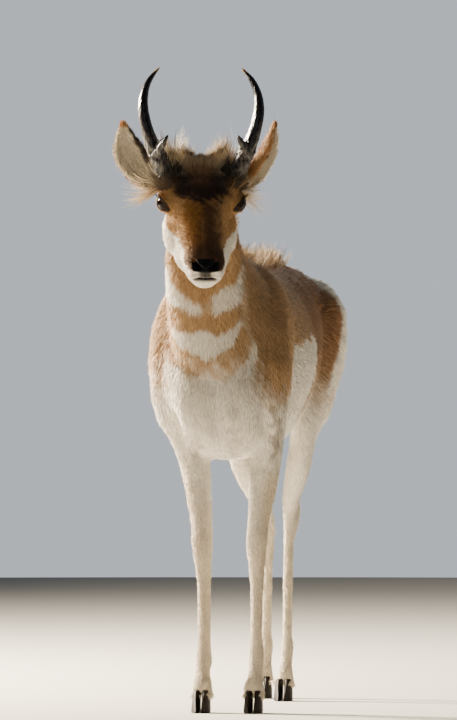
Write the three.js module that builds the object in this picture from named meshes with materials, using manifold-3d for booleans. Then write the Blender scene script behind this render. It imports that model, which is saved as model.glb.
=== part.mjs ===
// A pronghorn buck, life size, standing square in its autumn coat with its head turned to its left.
// Millimetres, +Z up. The animal faces -Y and its left side is +X. Body outlines include the depth of the coat.
import * as THREE from "three";
import { mergeVertices } from "three/addons/utils/BufferGeometryUtils.js";
import Module from "manifold-3d";

const wasm = await Module();
wasm.setup();

// Driving dimensions. Y is 0 on the line of the forelegs until the whole animal is centred at the end.
const touchGap = 0.3; // between two nodes that meet
const eyesMid = new THREE.Vector3(0, -315, 986); // halfway between the eyes
const headPitch = THREE.MathUtils.degToRad(41); // nose down
const headYaw = THREE.MathUtils.degToRad(14); // nose to the animal's left
const eyeRadius = 20;
const eyePlace = { side: 63, fore: 5, up: -4 };
const lidThickness = 2.6;
const foreStance = 51; // half the spread of the fore hooves
const chestShift = -10; // the chest stands this far to the animal's right of the rump
const heelOut = { left: 15, right: 4 }; // how far the point of each hock is turned out

const sideNames = { left: 1, right: -1 };

// Colours of the coat, horn and hoof
const coatTan = new THREE.MeshStandardMaterial({ color: 0xb98a56, roughness: 0.85, metalness: 0 });
const coatWhite = new THREE.MeshStandardMaterial({ color: 0xeae4d6, roughness: 0.85, metalness: 0 });
const hornBlack = new THREE.MeshStandardMaterial({ color: 0x23201e, roughness: 0.45, metalness: 0 });
const hoofBlack = new THREE.MeshStandardMaterial({ color: 0x1d1a18, roughness: 0.4, metalness: 0 });
const eyeDark = new THREE.MeshStandardMaterial({ color: 0x1a0f0a, roughness: 0.08, metalness: 0 });

// The trunk, front to rear: y, top z, bottom z, half width, height of the widest place as a share
const trunkSections = [
  [-168, 662, 622, 20, 0.5],
  [-158, 706, 582, 58, 0.48],
  [-128, 766, 533, 92, 0.47],
  [-86, 822, 503, 117, 0.46],
  [-36, 864, 488, 128, 0.45],
  [20, 884, 482, 129, 0.45],
  [90, 879, 482, 126, 0.46],
  [180, 866, 486, 122, 0.48],
  [270, 858, 494, 121, 0.5],
  [350, 858, 512, 117, 0.52],
  [430, 862, 540, 110, 0.54],
  [500, 864, 566, 108, 0.56],
  [570, 856, 586, 106, 0.56],
  [626, 836, 604, 96, 0.54],
  [666, 804, 624, 78, 0.52],
  [690, 766, 648, 52, 0.5],
  [700, 732, 682, 22, 0.5],
];

// The neck, from the trunk up: x, top y, top z, throat y, throat z, half width
const neckSections = [
  [0, 66, 850, -140, 600, 96],
  [-6, 4, 880, -172, 652, 98],
  [-16, -45, 903, -187, 705, 88],
  [-22, -95, 932, -196, 762, 80],
  [-22, -145, 965, -200, 820, 75],
  [-18, -195, 1000, -198, 872, 71],
  [-14, -234, 1020, -204, 906, 62],
  [-10, -262, 1018, -236, 930, 44],
];

// The head, crown to nose, along its own axis: distance forward of the eyes, top, bottom, half width, share
const headSections = [
  [-96, 6, -38, 24, 0.5],
  [-84, 22, -62, 46, 0.5],
  [-56, 34, -84, 58, 0.55],
  [-22, 40, -96, 64, 0.58],
  [10, 37, -100, 63, 0.58],
  [42, 29, -98, 58, 0.54],
  [74, 20, -92, 52, 0.5],
  [104, 11, -84, 46, 0.48],
  [132, 4, -74, 41.5, 0.48],
  [158, -1, -66, 39.5, 0.5],
  [178, -7, -61, 35, 0.52],
  [192, -15, -55, 26, 0.52],
  [198, -27, -45, 10, 0.5],
];

// The foreleg from the shoulder blade down: out, y, z, half width, front, back
const shoulderSections = [
  [52, 42, 852, 20, 40, 40],
  [84, 18, 790, 42, 62, 66],
  [97, -22, 716, 45, 76, 78],
  [99, -46, 650, 42, 70, 84],
  [94, -36, 590, 37, 60, 74],
  [83, -10, 540, 33, 44, 54],
  [71, 4, 490, 33, 35, 38],
  [65, 5, 470, 31, 32, 34],
];
const forelegSections = [
  [78, -4, 520, 31, 38, 46],
  [69, 4, 482, 32.5, 33, 36],
  [63, 4, 430, 27.5, 28.5, 30],
  [56.5, 1, 376, 21.5, 23.5, 24],
  [53.5, -3, 338, 19.5, 21, 21],
  [53, -4, 314, 19.5, 21, 20],
  [52.5, 0, 286, 16.5, 17, 19],
  [52, 3, 258, 13.6, 14, 17],
  [51.5, 3, 200, 12.4, 12.6, 15.5],
  [51, 3, 138, 12.6, 12.6, 16],
  [51, 2, 106, 16.5, 16, 20],
  [51, -7, 80, 15, 14.5, 15.5],
  [51, -17, 60, 16.5, 16, 16],
  [51, -25, 46, 19, 17, 19],
];

// The thigh from the hip to the stifle, common to both sides: out, y, z, half width, front, back
const thighSections = [
  [46, 560, 818, 34, 60, 60],
  [74, 562, 772, 54, 92, 100],
  [86, 550, 718, 50, 106, 124],
  [86, 524, 664, 42, 102, 128],
  [82, 494, 612, 35, 84, 118],
  [73, 470, 566, 31, 62, 96],
  [65, 468, 524, 27, 46, 66],
];

// The hind legs below the stifle: x, y, z, half width, front, back. The left one is set further forward.
const hindSections = {
  left: [
    [68, 462, 560, 31, 54, 84],
    [61, 474, 512, 28.5, 42, 66],
    [50, 494, 466, 25.5, 32, 54],
    [37, 519, 424, 21.5, 24, 47],
    [23, 545, 385, 16.5, 19, 38],
    [15, 560, 352, 17.5, 18, 28],
    [15, 563, 326, 17, 18, 22],
    [16, 559, 292, 13.5, 14, 18],
    [17, 553, 236, 12, 12.5, 16],
    [17.5, 545, 160, 12, 12.2, 15.5],
    [18, 540, 126, 13, 13, 17],
    [18, 537, 105, 16.5, 16, 20],
    [18, 528, 80, 14.5, 14.5, 15.5],
    [18, 518, 60, 16, 16, 16],
    [18, 510, 46, 18.5, 17, 19],
  ],
  right: [
    [-74, 478, 552, 31, 54, 84],
    [-71, 508, 502, 28.5, 42, 66],
    [-65, 547, 456, 25.5, 32, 54],
    [-56, 588, 416, 21.5, 24, 47],
    [-46, 628, 378, 16.5, 19, 38],
    [-41, 649, 348, 17.5, 18, 28],
    [-40, 656, 322, 17, 18, 22],
    [-40, 656, 290, 13.5, 14, 18],
    [-41, 655, 236, 12, 12.5, 16],
    [-41.5, 651, 160, 12, 12.2, 15.5],
    [-42, 649, 126, 13, 13, 17],
    [-42, 647, 105, 16.5, 16, 20],
    [-42, 638, 80, 14.5, 14.5, 15.5],
    [-42, 628, 60, 16, 16, 16],
    [-42, 620, 46, 18.5, 17, 19],
  ],
};

// The heel tendon and point of the hock, as offsets from the hock's own section: x, y, z, half width, front, back
const heelSections = [
  [24, -18, 100, 13, 16, 12],
  [8, 14, 60, 9, 14, 10],
  [1, 30, 30, 9.5, 14, 10],
  [0, 28, 2, 10.5, 12, 10],
  [0, 14, -34, 9, 10, 8],
];

const tailSections = [
  [0, 620, 812, 28, 18, 18],
  [0, 672, 796, 28, 18, 20],
  [0, 702, 760, 27, 17, 19],
  [0, 716, 718, 21, 14, 15],
  [0, 720, 690, 11, 8, 8],
  [0, 720, 676, 3, 3, 3],
];

// Horn, from its root on the brow: out, forward and up from between the eyes, half width, half depth
const hornSections = [
  [56, -14, 18, 18, 27],
  [64, -10, 40, 18.5, 27.5],
  [77, -4, 70, 17, 25],
  [93, 3, 104, 14, 21],
  [104, 6, 136, 12, 18],
  [110, 5, 168, 10.6, 15.5],
  [108, -3, 198, 8.2, 12],
  [97, -14, 226, 5.6, 8],
  [77, -25, 249, 1.4, 2],
];
// The prong stands forward and inward from the shaft: out, forward, up, half width, half depth
const prongSections = [
  [88, 0, 84, 10, 20],
  [82, 22, 94, 8.5, 15],
  [74, 40, 106, 6.5, 10],
  [66, 52, 120, 1.4, 2],
];

// Ear, from its root behind the horn: out, forward and up from between the eyes, half width, wall
const earSections = [
  [50, -44, -4, 19, 14],
  [70, -50, 12, 21, 9],
  [93, -54, 34, 25.5, 6.5],
  [114, -56, 62, 27, 5.5],
  [128, -56, 92, 23.5, 5],
  [137, -54, 120, 15, 4.5],
  [143, -52, 144, 4, 3],
];

// One claw of a hoof: its length, how far the toe is ahead of the coronet, and the gap between the two claws
const claw = { length: 60, toeAhead: 40, width: 19, height: 43, split: 1.4, coronetShift: 8 };

// Meshes and solids

function solidOf(geometry, mergeWithin = 1e-4) {
  const bare = geometry.clone();
  bare.deleteAttribute("normal");
  bare.deleteAttribute("uv");
  const merged = mergeVertices(bare, mergeWithin);
  return new wasm.Manifold(
    new wasm.Mesh({
      numProp: 3,
      vertProperties: merged.attributes.position.array,
      triVerts: new Uint32Array(merged.index.array),
    }),
  );
}

function geometryOf(solid) {
  const mesh = solid.getMesh();
  const points = new Float32Array(mesh.numVert * 3);
  for (let i = 0; i < mesh.numVert; i++) {
    points.set(mesh.vertProperties.subarray(i * mesh.numProp, i * mesh.numProp + 3), i * 3);
  }
  const geometry = new THREE.BufferGeometry();
  geometry.setAttribute("position", new THREE.BufferAttribute(points, 3));
  geometry.setIndex(new THREE.BufferAttribute(mesh.triVerts, 1));
  geometry.computeVertexNormals();
  return geometry;
}

// Points closer than the mesh can hold are one point, which drops scraps of no thickness.
function cleaned(solid) {
  return largest(solidOf(geometryOf(solid), 1e-3));
}

function largest(solid) {
  return solid.decompose().reduce((best, piece) => (piece.volume() > best.volume() ? piece : best));
}

// A closed solid through rings of points, with a fan over each end.
function loft(rings) {
  const sides = rings[0].length;
  const middleOf = (ring) =>
    ring.reduce((sum, p) => sum.add(p), new THREE.Vector3()).divideScalar(sides);
  const points = [...rings.flat(), middleOf(rings[0]), middleOf(rings.at(-1))];
  const faces = [];
  const at = (ring, side) => ring * sides + (side % sides);
  for (let ring = 0; ring < rings.length - 1; ring++) {
    for (let side = 0; side < sides; side++) {
      faces.push(at(ring, side), at(ring, side + 1), at(ring + 1, side + 1));
      faces.push(at(ring, side), at(ring + 1, side + 1), at(ring + 1, side));
    }
  }
  const last = rings.length - 1;
  for (let side = 0; side < sides; side++) {
    faces.push(at(0, side + 1), at(0, side), points.length - 2);
    faces.push(at(last, side), at(last, side + 1), points.length - 1);
  }
  const volume = faces.reduce(
    (sum, v, i) =>
      i % 3 ? sum : sum + points[v].dot(points[faces[i + 1]].clone().cross(points[faces[i + 2]])),
    0,
  );
  if (volume < 0) faces.reverse();
  const geometry = new THREE.BufferGeometry().setFromPoints(points);
  geometry.setIndex(faces);
  return solidOf(geometry);
}

// Smooth rows between the rows of a table of sections.
function smoothRows(rows, steps) {
  const rowAt = (i) => rows[Math.min(Math.max(i, 0), rows.length - 1)];
  return Array.from({ length: steps + 1 }, (_, step) => {
    const place = (step / steps) * (rows.length - 1);
    const i = Math.min(Math.floor(place), rows.length - 2);
    const t = place - i;
    return rows[i].map((_, column) => {
      const [a, b, c, d] = [-1, 0, 1, 2].map((k) => rowAt(i + k)[column]);
      return (
        b + 0.5 * t * (c - a + t * (2 * a - 5 * b + 4 * c - d + t * (3 * (b - c) + d - a)))
      );
    });
  });
}

// One ring of a section: across and toward are unit vectors, and the two depths may differ.
function ring(middle, across, toward, halfWidth, depthToward, depthAway, sides) {
  return Array.from({ length: sides }, (_, side) => {
    const angle = (2 * Math.PI * side) / sides;
    const depth = Math.sin(angle) > 0 ? depthToward : depthAway;
    return middle
      .clone()
      .addScaledVector(across, halfWidth * Math.cos(angle))
      .addScaledVector(toward, depth * Math.sin(angle));
  });
}

// A body through sections given by a top point and a bottom point in its middle plane.
// Rows: x, top y, top z, bottom y, bottom z, half width, share of the height where it is widest.
function profileLoft(rows, steps, sides) {
  const across = new THREE.Vector3(1, 0, 0);
  return loft(
    smoothRows(rows, steps).map(([x, topY, topZ, bottomY, bottomZ, halfWidth, share]) => {
      const top = new THREE.Vector3(x, topY, topZ);
      const bottom = new THREE.Vector3(x, bottomY, bottomZ);
      const middle = bottom.clone().lerp(top, share);
      const up = top.clone().sub(bottom).normalize();
      return ring(
        middle, across, up, halfWidth, top.distanceTo(middle), bottom.distanceTo(middle), sides,
      );
    }),
  );
}

// A limb through sections square to its own line. Rows: x, y, z, half width, front, back.
function limbLoft(rows, steps, sides, across = new THREE.Vector3(1, 0, 0)) {
  const smooth = smoothRows(rows, steps);
  const points = smooth.map(([x, y, z]) => new THREE.Vector3(x, y, z));
  return loft(
    points.map((point, i) => {
      const along = points[Math.min(i + 1, steps)].clone().sub(points[Math.max(i - 1, 0)]).normalize();
      const front = along.clone().cross(across).normalize();
      const level = front.clone().cross(along).normalize();
      const [, , , halfWidth, fore, aft] = smooth[i];
      return ring(point, level, front, halfWidth, fore, aft, sides);
    }),
  );
}

function ball(x, y, z, rx, ry, rz, around = 14, down = 9) {
  return solidOf(new THREE.SphereGeometry(1, around, down).scale(rx, ry, rz).translate(x, y, z));
}

const mirrored = (rows, side) => rows.map(([x, ...rest]) => [side * x, ...rest]);
const joined = (solids) => solids.reduce((sum, solid) => sum.add(solid));

// Places in the head: the pitched frame runs along the face, the level one only turns with the head.
const headFrame = new THREE.Matrix4()
  .makeTranslation(eyesMid.x, eyesMid.y, eyesMid.z)
  .multiply(new THREE.Matrix4().makeRotationZ(headYaw))
  .multiply(new THREE.Matrix4().makeRotationX(headPitch));
const levelFrame = new THREE.Matrix4()
  .makeTranslation(eyesMid.x, eyesMid.y, eyesMid.z)
  .multiply(new THREE.Matrix4().makeRotationZ(headYaw));
const inFrame = (solid, frame) => solid.transform(frame.elements);

// A tube with a round section along points of the head.
function headTube(points, radius, steps, sides) {
  const curve = new THREE.CatmullRomCurve3(points.map(([x, fore, up]) => new THREE.Vector3(x, -fore, up)));
  const circle = new THREE.Shape().absarc(0, 0, radius, 0, 2 * Math.PI);
  return solidOf(
    new THREE.ExtrudeGeometry(circle, { steps, extrudePath: curve, curveSegments: sides }),
  );
}

function makeHead() {
  const rows = headSections.map(([fore, top, bottom, halfWidth, share]) => [
    0, -fore, top, -fore, bottom, halfWidth, share,
  ]);
  const masses = [profileLoft(rows, 20, 18)];
  for (const side of Object.values(sideNames)) {
    masses.push(
      ball(side * 38, -22, -58, 35, 66, 46, 12, 7), // cheek muscle and its hair
      ball(side * 23, -78, -66, 32, 60, 28, 12, 7), // lower jaw
      ball(side * 50, 4, 2, 31, 31, 29, 12, 7), // orbit
      ball(side * 48, 20, 26, 26, 24, 26, 10, 6), // pedicle under the horn
      ball(side * 17, -178, -24, 18, 20, 17, 12, 7), // nostril wing
      ball(side * 44, 44, 6, 24, 26, 24, 10, 6), // ear root
    );
  }
  masses.push(ball(0, -164, -56, 27, 28, 14, 12, 7)); // lower lip and chin
  masses.push(ball(0, 34, 26, 46, 44, 26, 12, 7)); // hair of the crown
  let head = joined(masses);

  // Nostrils, the line of the mouth and the groove of the upper lip
  for (const side of Object.values(sideNames)) {
    const nostril = new THREE.SphereGeometry(1, 12, 8)
      .scale(9.5, 14, 4.6)
      .rotateY(side * THREE.MathUtils.degToRad(-28))
      .translate(side * 15, -192, -26);
    head = head.subtract(solidOf(nostril));
  }
  const mouthHalf = [[0, 198, -46], [14, 194, -46], [26, 184, -47], [34, 164, -50], [37, 140, -52], [38, 122, -52]];
  const mouth = [...mouthHalf.slice(1).reverse().map(([x, u, v]) => [-x, u, v]), ...mouthHalf];
  head = head.subtract(headTube(mouth, 2, 16, 5));
  head = head.subtract(headTube([[0, 200, -30], [0, 199.5, -38], [0, 198, -46]], 1.6, 4, 6));
  return inFrame(largest(head), headFrame);
}

// Each eye has a socket and a thin cap of lid over it, opened by an almond slit.
function openEyes(head) {
  const lidRadius = eyeRadius + lidThickness;
  for (const side of Object.values(sideNames)) {
    const [x, y, z] = [side * eyePlace.side, -eyePlace.fore, eyePlace.up];
    const cap = ball(x, y, z, lidRadius, lidRadius, lidRadius, 14, 9);
    const socket = ball(x, y, z, ...Array(3).fill(eyeRadius + touchGap), 14, 9);
    const slit = new THREE.CylinderGeometry(1, 1, 40, 14)
      .rotateZ(Math.PI / 2)
      .scale(1, 18, 11.5)
      .rotateX(THREE.MathUtils.degToRad(-18))
      .translate(side * 20, 0, 0)
      .rotateZ(side * THREE.MathUtils.degToRad(-30))
      .translate(x, y, z);
    head = head.add(inFrame(cap, headFrame));
    head = head.subtract(inFrame(socket, headFrame)).subtract(inFrame(solidOf(slit), headFrame));
  }
  return largest(head);
}

// Horns lean out from the brow and hook inward at the tip, with one prong forward of the shaft.
function makeHorn(side, grow = 0) {
  const across = new THREE.Vector3(1, 0, 0);
  const tube = (rows, steps, sides) =>
    limbLoft(
      rows.map(([out, fore, up, ...half]) => {
        const [halfWidth, depth] = half.map((length) => length + grow);
        return [side * out, -fore, up, halfWidth, depth, depth];
      }),
      steps, sides, across,
    );
  return inFrame(tube(hornSections, 18, 10).add(tube(prongSections, 5, 7)), levelFrame);
}

// Ears are cupped leaves. The opening turns forward on the right ear and outward on the left one.
function makeEar(side, openingTurn) {
  const arcSteps = 6;
  const smooth = smoothRows(earSections.map(([out, ...rest]) => [side * out, ...rest]), 12);
  const points = smooth.map(([x, fore, up]) => new THREE.Vector3(x, -fore, up));
  const rings = points.map((point, i) => {
    const along = points[Math.min(i + 1, points.length - 1)].clone()
      .sub(points[Math.max(i - 1, 0)]).normalize();
    const opening = new THREE.Vector3(0, -1, 0)
      .applyAxisAngle(new THREE.Vector3(0, 0, 1), openingTurn)
      .projectOnPlane(along).normalize();
    const across = along.clone().cross(opening);
    const [, , , halfWidth, wall] = smooth[i];
    const share = i / (points.length - 1);
    const spread = THREE.MathUtils.lerp(2.5, 1.25, Math.min(1, share * 2.2));
    const bend = halfWidth / Math.sin(Math.min(spread, Math.PI / 2));
    const arc = (radius, order) =>
      Array.from({ length: arcSteps + 1 }, (_, k) => {
        const angle = spread * ((2 * (order > 0 ? k : arcSteps - k)) / arcSteps - 1);
        return point.clone()
          .addScaledVector(opening, bend * 0.55 - radius * Math.cos(angle))
          .addScaledVector(across, radius * Math.sin(angle));
      });
    return [...arc(bend, 1), ...arc(Math.max(bend - wall, 0.25 * bend), -1)];
  });
  return inFrame(loft(rings), levelFrame);
}

// Two claws to each foot, each with a flat sole and a pointed toe.
function makeClaw(x, coronetY, side) {
  const sides = 14;
  const levels = [0, 0.12, 0.5, 1].map((share) => {
    const length = claw.length * (1 - 0.38 * share);
    const middleY = coronetY - claw.toeAhead + claw.length / 2 + (claw.coronetShift + 4) * share;
    return Array.from({ length: sides }, (_, k) => {
      const angle = (2 * Math.PI * k) / sides;
      const toe = Math.max(0, -Math.sin(angle)); // 1 at the toe
      const half = (claw.width / 2) * (1 - 0.4 * toe ** 3) * (1 - 0.06 * share);
      const inner = Math.cos(angle) * side < 0 ? 0.86 : 1;
      return new THREE.Vector3(
        x + side * (claw.width / 2 + claw.split) + half * inner * Math.cos(angle),
        middleY + (length / 2) * Math.sin(angle),
        share * claw.height,
      );
    });
  });
  return loft(levels);
}

// Cuts: the part of the body inside a box becomes a limb of its own, with a gap left round it.
function boxSolid(size, frame, grow = 0) {
  const geometry = new THREE.BoxGeometry(...size.map((length) => length + 2 * grow));
  return solidOf(geometry.applyMatrix4(frame));
}

function partWithBoxes(body, boxes) {
  const region = (grow) =>
    boxes.map(([size, frame]) => boxSolid(size, frame, grow)).reduce((common, box) => common.intersect(box));
  return [largest(body.intersect(region(0))), largest(body.subtract(region(touchGap)))];
}

const partWithBox = (body, size, frame) => partWithBoxes(body, [[size, frame]]);

// A box whose lower face passes through a point, with its own up along the given direction.
function boxAbove(point, up, size) {
  const turn = new THREE.Quaternion().setFromUnitVectors(new THREE.Vector3(0, 0, 1), up.clone().normalize());
  const middle = point.clone().addScaledVector(up.clone().normalize(), size[2] / 2);
  return new THREE.Matrix4().compose(middle, turn, new THREE.Vector3(1, 1, 1));
}

// A lock of bristly hair: flat, tapered and bent back, with its root sunk in.
function lock(root, lean, across, length, halfWidth) {
  const bendBack = new THREE.Vector3(0, 1, -0.35);
  const rows = [-0.28, 0.25, 0.65, 1].map((share, i) => {
    const point = root.clone().addScaledVector(lean, length * share);
    point.addScaledVector(bendBack, length * 0.22 * Math.max(share, 0) ** 2);
    const thick = [3.4, 3, 2, 0.5][i];
    return [point.x, point.y, point.z, halfWidth * [1, 1, 0.7, 0.12][i], thick, thick];
  });
  return limbLoft(rows, 3, 4, across);
}

// Locks in three staggered files along a ridge of points, longest where the share is 0.
function maneAlong(ridge, count, longest, shortest, liftDegrees, random) {
  const curve = new THREE.CatmullRomCurve3(ridge);
  const across = new THREE.Vector3(1, 0, 0);
  return Array.from({ length: count }, (_, i) => {
    const share = (i + 0.5) / count;
    const file = (i % 3) - 1;
    const root = curve.getPointAt(share).addScaledVector(across, file * 13);
    root.z -= Math.abs(file) * 2;
    const back = curve.getTangentAt(share);
    const up = across.clone().cross(back).normalize();
    const lift = THREE.MathUtils.degToRad(liftDegrees * (0.85 + 0.3 * random()));
    const lean = back.multiplyScalar(Math.cos(lift)).addScaledVector(up, Math.sin(lift)).normalize();
    const length = THREE.MathUtils.lerp(longest, shortest, share) * (0.85 + 0.3 * random());
    return lock(root, lean, across.clone().applyAxisAngle(lean, 0.5 * file), length, 12);
  });
}

// A repeatable draw between 0 and 1
function seeded(seed) {
  let state = seed;
  return () => {
    state = (state * 16807) % 2147483647;
    return state / 2147483647;
  };
}

const solids = new Map();

// Head with its horns, ears and eyes
let head = makeHead();
for (const [name, side] of Object.entries(sideNames)) {
  const eye = ball(side * eyePlace.side, -eyePlace.fore, eyePlace.up, ...Array(3).fill(eyeRadius), 14, 9);
  solids.set(`eye_${name}`, [inFrame(eye, headFrame), eyeDark]);

  const hornRoot = new THREE.Vector3(side * 66, 10, 42).applyMatrix4(levelFrame);
  const hornUp = new THREE.Vector3(side * 0.42, -0.16, 1).transformDirection(levelFrame);
  const hornBox = [150, 150, 260];
  const [horn] = partWithBox(makeHorn(side), hornBox, boxAbove(hornRoot, hornUp, hornBox));
  const pedicle = makeHorn(side).subtract(
    boxSolid(hornBox, boxAbove(hornRoot.clone().addScaledVector(hornUp, -touchGap), hornUp, hornBox), 0.01),
  );
  head = head.subtract(
    boxSolid([70, 70, 60], boxAbove(hornRoot.clone().addScaledVector(hornUp, -touchGap), hornUp, [70, 70, 60])),
  );
  head = head.add(largest(pedicle));
  solids.set(`horn_${name}`, [horn, hornBlack]);

  const ear = largest(makeEar(side, name === "right" ? -0.35 : 1.25).subtract(makeHorn(side, 3 * touchGap)));
  const earRoot = new THREE.Vector3(side * 74, 50, 18).applyMatrix4(levelFrame);
  const earUp = new THREE.Vector3(side * 0.75, 0.1, 0.62).transformDirection(levelFrame);
  const earBox = [120, 120, 200];
  const earFrame = boxAbove(earRoot, earUp, earBox);
  solids.set(`ear_${name}`, [largest(ear.intersect(boxSolid(earBox, earFrame))), coatTan]);
  head = head.subtract(boxSolid([60, 60, 50], boxAbove(earRoot.clone().addScaledVector(earUp, -touchGap), earUp, [60, 60, 50])));
  head = head.add(largest(ear.subtract(boxSolid(earBox, earFrame, touchGap))));
}


// Hair of the crown, rising beside each horn
const crownHair = { locks: 6, inner: 8, outer: 50, behind: 30, stagger: 8, up: 44, shortest: 30, longest: 54 };
for (const side of Object.values(sideNames)) {
  for (let i = 0; i < crownHair.locks; i++) {
    const share = i / (crownHair.locks - 1);
    const out = THREE.MathUtils.lerp(crownHair.inner, crownHair.outer, share);
    const root = new THREE.Vector3(side * out, crownHair.behind + crownHair.stagger * (i % 2), crownHair.up);
    const lean = new THREE.Vector3(side * (0.1 + 0.18 * share), 0.3, 1).normalize();
    const across = new THREE.Vector3(1, side * 0.3, 0).normalize();
    const length = THREE.MathUtils.lerp(crownHair.shortest, crownHair.longest, share);
    head = head.add(inFrame(lock(root, lean, across, length, 11), levelFrame));
  }
}
head = openEyes(head);

// Neck, trunk, shoulders and thighs
const trunkRows = trunkSections.map(([y, top, bottom, halfWidth, share]) => [
  chestShift * (1 - THREE.MathUtils.smoothstep(y, 20, 180)), y, top, y, bottom, halfWidth, share,
]);
const shoulder = (side) =>
  mirrored(shoulderSections, side).map(([x, y, z, ...rest]) => [
    x + chestShift * THREE.MathUtils.smoothstep(z, 490, 600), y, z, ...rest,
  ]);
const bodyMasses = [
  profileLoft(trunkRows, 26, 22),
  profileLoft(neckSections.map((row) => [...row, 0.5]), 14, 20),
  limbLoft(tailSections, 7, 10),
];
for (const [name, side] of Object.entries(sideNames)) {
  bodyMasses.push(
    limbLoft(shoulder(side), 10, 12),
    limbLoft(mirrored(forelegSections, side), 22, 10),
    limbLoft(mirrored(thighSections, side), 10, 14),
    limbLoft(hindSections[name], 24, 10),
  );
  const hock = hindSections[name][5];
  const turned = heelOut[name] / heelSections[2][1];
  const heel = heelSections.map(([x, y, z, ...rest]) => [
    hock[0] + side * (x + turned * Math.max(0, y)), hock[1] + y, hock[2] + z, ...rest,
  ]);
  bodyMasses.push(limbLoft(heel, 8, 8));
}
const napeRidge = neckSections.slice(0, 7).reverse().map(([x, y, z]) => new THREE.Vector3(x, y, z - 2));
const backRidge = trunkSections
  .filter(([y]) => y >= 20 && y <= 350)
  .map(([y, z]) => new THREE.Vector3(chestShift * (1 - THREE.MathUtils.smoothstep(y, 20, 180)), y, z - 2));
const random = seeded(7);
bodyMasses.push(...maneAlong(napeRidge, 20, 58, 52, 30, random));
bodyMasses.push(...maneAlong(backRidge, 13, 46, 32, 26, random));
let body = largest(joined(bodyMasses));

// Part the body from the head at the throat, then the legs, the tail and the neck
const nape = new THREE.Vector3(-14, -222, 1010);
const headUp = new THREE.Vector3(0, -0.86, 0.5).normalize();
const headCut = [500, 900, 500];
const headHalf = boxAbove(nape, headUp, headCut);
body = largest(body.subtract(boxSolid(headCut, headHalf, touchGap / 2)));
head = largest(head.intersect(boxSolid(headCut, headHalf)));
solids.set("head", [head, coatTan]);

for (const [name, side] of Object.entries(sideNames)) {
  const foreBox = [[110, 166, 700], new THREE.Matrix4().makeTranslation(side * 85, -17, 350)];
  const below = new THREE.Vector3(side * 0.6, 0, -0.8);
  const slanted = [1200, 500, 900];
  const armpit = [slanted, boxAbove(new THREE.Vector3(side * 70, 0, 515), below, slanted)];
  let leg;
  [leg, body] = partWithBoxes(body, [foreBox, armpit]);
  solids.set(`foreleg_${name}`, [leg, coatWhite]);

  const stifle = new THREE.Vector3(0, hindSections[name][0][1], hindSections[name][0][2]);
  const hindBox = [200, 500, 620];
  const down = new THREE.Vector3(0, 0.35, -1).normalize();
  const hindMiddle = boxAbove(stifle.clone().setX(side * 108), down, hindBox);
  [leg, body] = partWithBox(body, hindBox, hindMiddle);
  solids.set(`hindleg_${name}`, [leg, coatWhite]);
}

const tailBox = [90, 120, 240];
let tail;
[tail, body] = partWithBox(body, tailBox, new THREE.Matrix4().makeTranslation(0, 690 + 60, 750));
solids.set("tail", [tail, coatWhite]);

const neckFoot = new THREE.Vector3(0, -100, 790);
const neckUp = new THREE.Vector3(0, -0.72, 0.69).normalize();
const neckBox = [400, 500, 400];
let neck;
[neck, body] = partWithBox(body, neckBox, boxAbove(neckFoot, neckUp, neckBox));
solids.set("neck", [neck, coatTan]);
solids.set("torso", [body, coatTan]);

// Claws under each leg
const feet = {
  fore_left: [foreStance, forelegSections.at(-1)[1]],
  fore_right: [-foreStance, forelegSections.at(-1)[1]],
  hind_left: [hindSections.left.at(-1)[0], hindSections.left.at(-1)[1]],
  hind_right: [hindSections.right.at(-1)[0], hindSections.right.at(-1)[1]],
};
for (const [foot, [x, y]] of Object.entries(feet)) {
  const legName = foot.replace("_", "leg_");
  const [leg, material] = solids.get(legName);
  let cleared = leg;
  for (const [name, side] of Object.entries(sideNames)) {
    const claw = makeClaw(x, y, side);
    solids.set(`claw_${foot}_${name}`, [claw, hoofBlack]);
  }
  const soleBox = [120, 160, 100];
  const soleCut = new THREE.Matrix4().makeTranslation(x, y, claw.height + touchGap - soleBox[2] / 2);
  cleared = largest(cleared.subtract(boxSolid(soleBox, soleCut)));
  solids.set(legName, [cleared, material]);
}

// The scene graph, centred over the floor
const pronghorn = new THREE.Group();
pronghorn.name = "pronghorn";
for (const [name, [solid, material]] of solids) {
  const mesh = new THREE.Mesh(geometryOf(cleaned(solid)), material);
  mesh.name = name;
  pronghorn.add(mesh);
}
const middle = new THREE.Box3().setFromObject(pronghorn).getCenter(new THREE.Vector3());
pronghorn.position.set(-middle.x, -middle.y, 0);

export default pronghorn;
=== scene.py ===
import math

import bmesh
import bpy
import numpy as np
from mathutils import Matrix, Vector
from mathutils.bvhtree import BVHTree


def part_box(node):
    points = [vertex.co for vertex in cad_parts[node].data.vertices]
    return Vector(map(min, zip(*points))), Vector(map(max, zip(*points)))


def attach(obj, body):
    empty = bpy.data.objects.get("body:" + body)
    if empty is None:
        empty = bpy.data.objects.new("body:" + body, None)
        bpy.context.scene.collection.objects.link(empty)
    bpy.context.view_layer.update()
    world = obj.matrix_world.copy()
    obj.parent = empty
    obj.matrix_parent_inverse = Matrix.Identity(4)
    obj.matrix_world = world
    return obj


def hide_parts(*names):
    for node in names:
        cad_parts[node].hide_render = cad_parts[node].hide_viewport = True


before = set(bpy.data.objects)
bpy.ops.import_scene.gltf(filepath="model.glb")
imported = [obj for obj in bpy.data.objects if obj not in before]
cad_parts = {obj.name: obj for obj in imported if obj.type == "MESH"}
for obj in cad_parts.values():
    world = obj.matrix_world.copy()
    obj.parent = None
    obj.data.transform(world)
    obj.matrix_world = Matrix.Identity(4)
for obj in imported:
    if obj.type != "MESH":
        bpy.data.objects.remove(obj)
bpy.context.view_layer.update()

# Places are in metres in the animal's own frame: it faces -Y, its left is +X, Y is 0 at the forelegs.
animal = {
    "eyesMid": (0.0, -0.315, 0.986),
    "headYaw": math.radians(14),
    "headPitch": math.radians(41),
    "eye": (0.063, 0.005, -0.004),  # out, forward, up from between the eyes
    "eyeRadius": 0.020,
}
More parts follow.
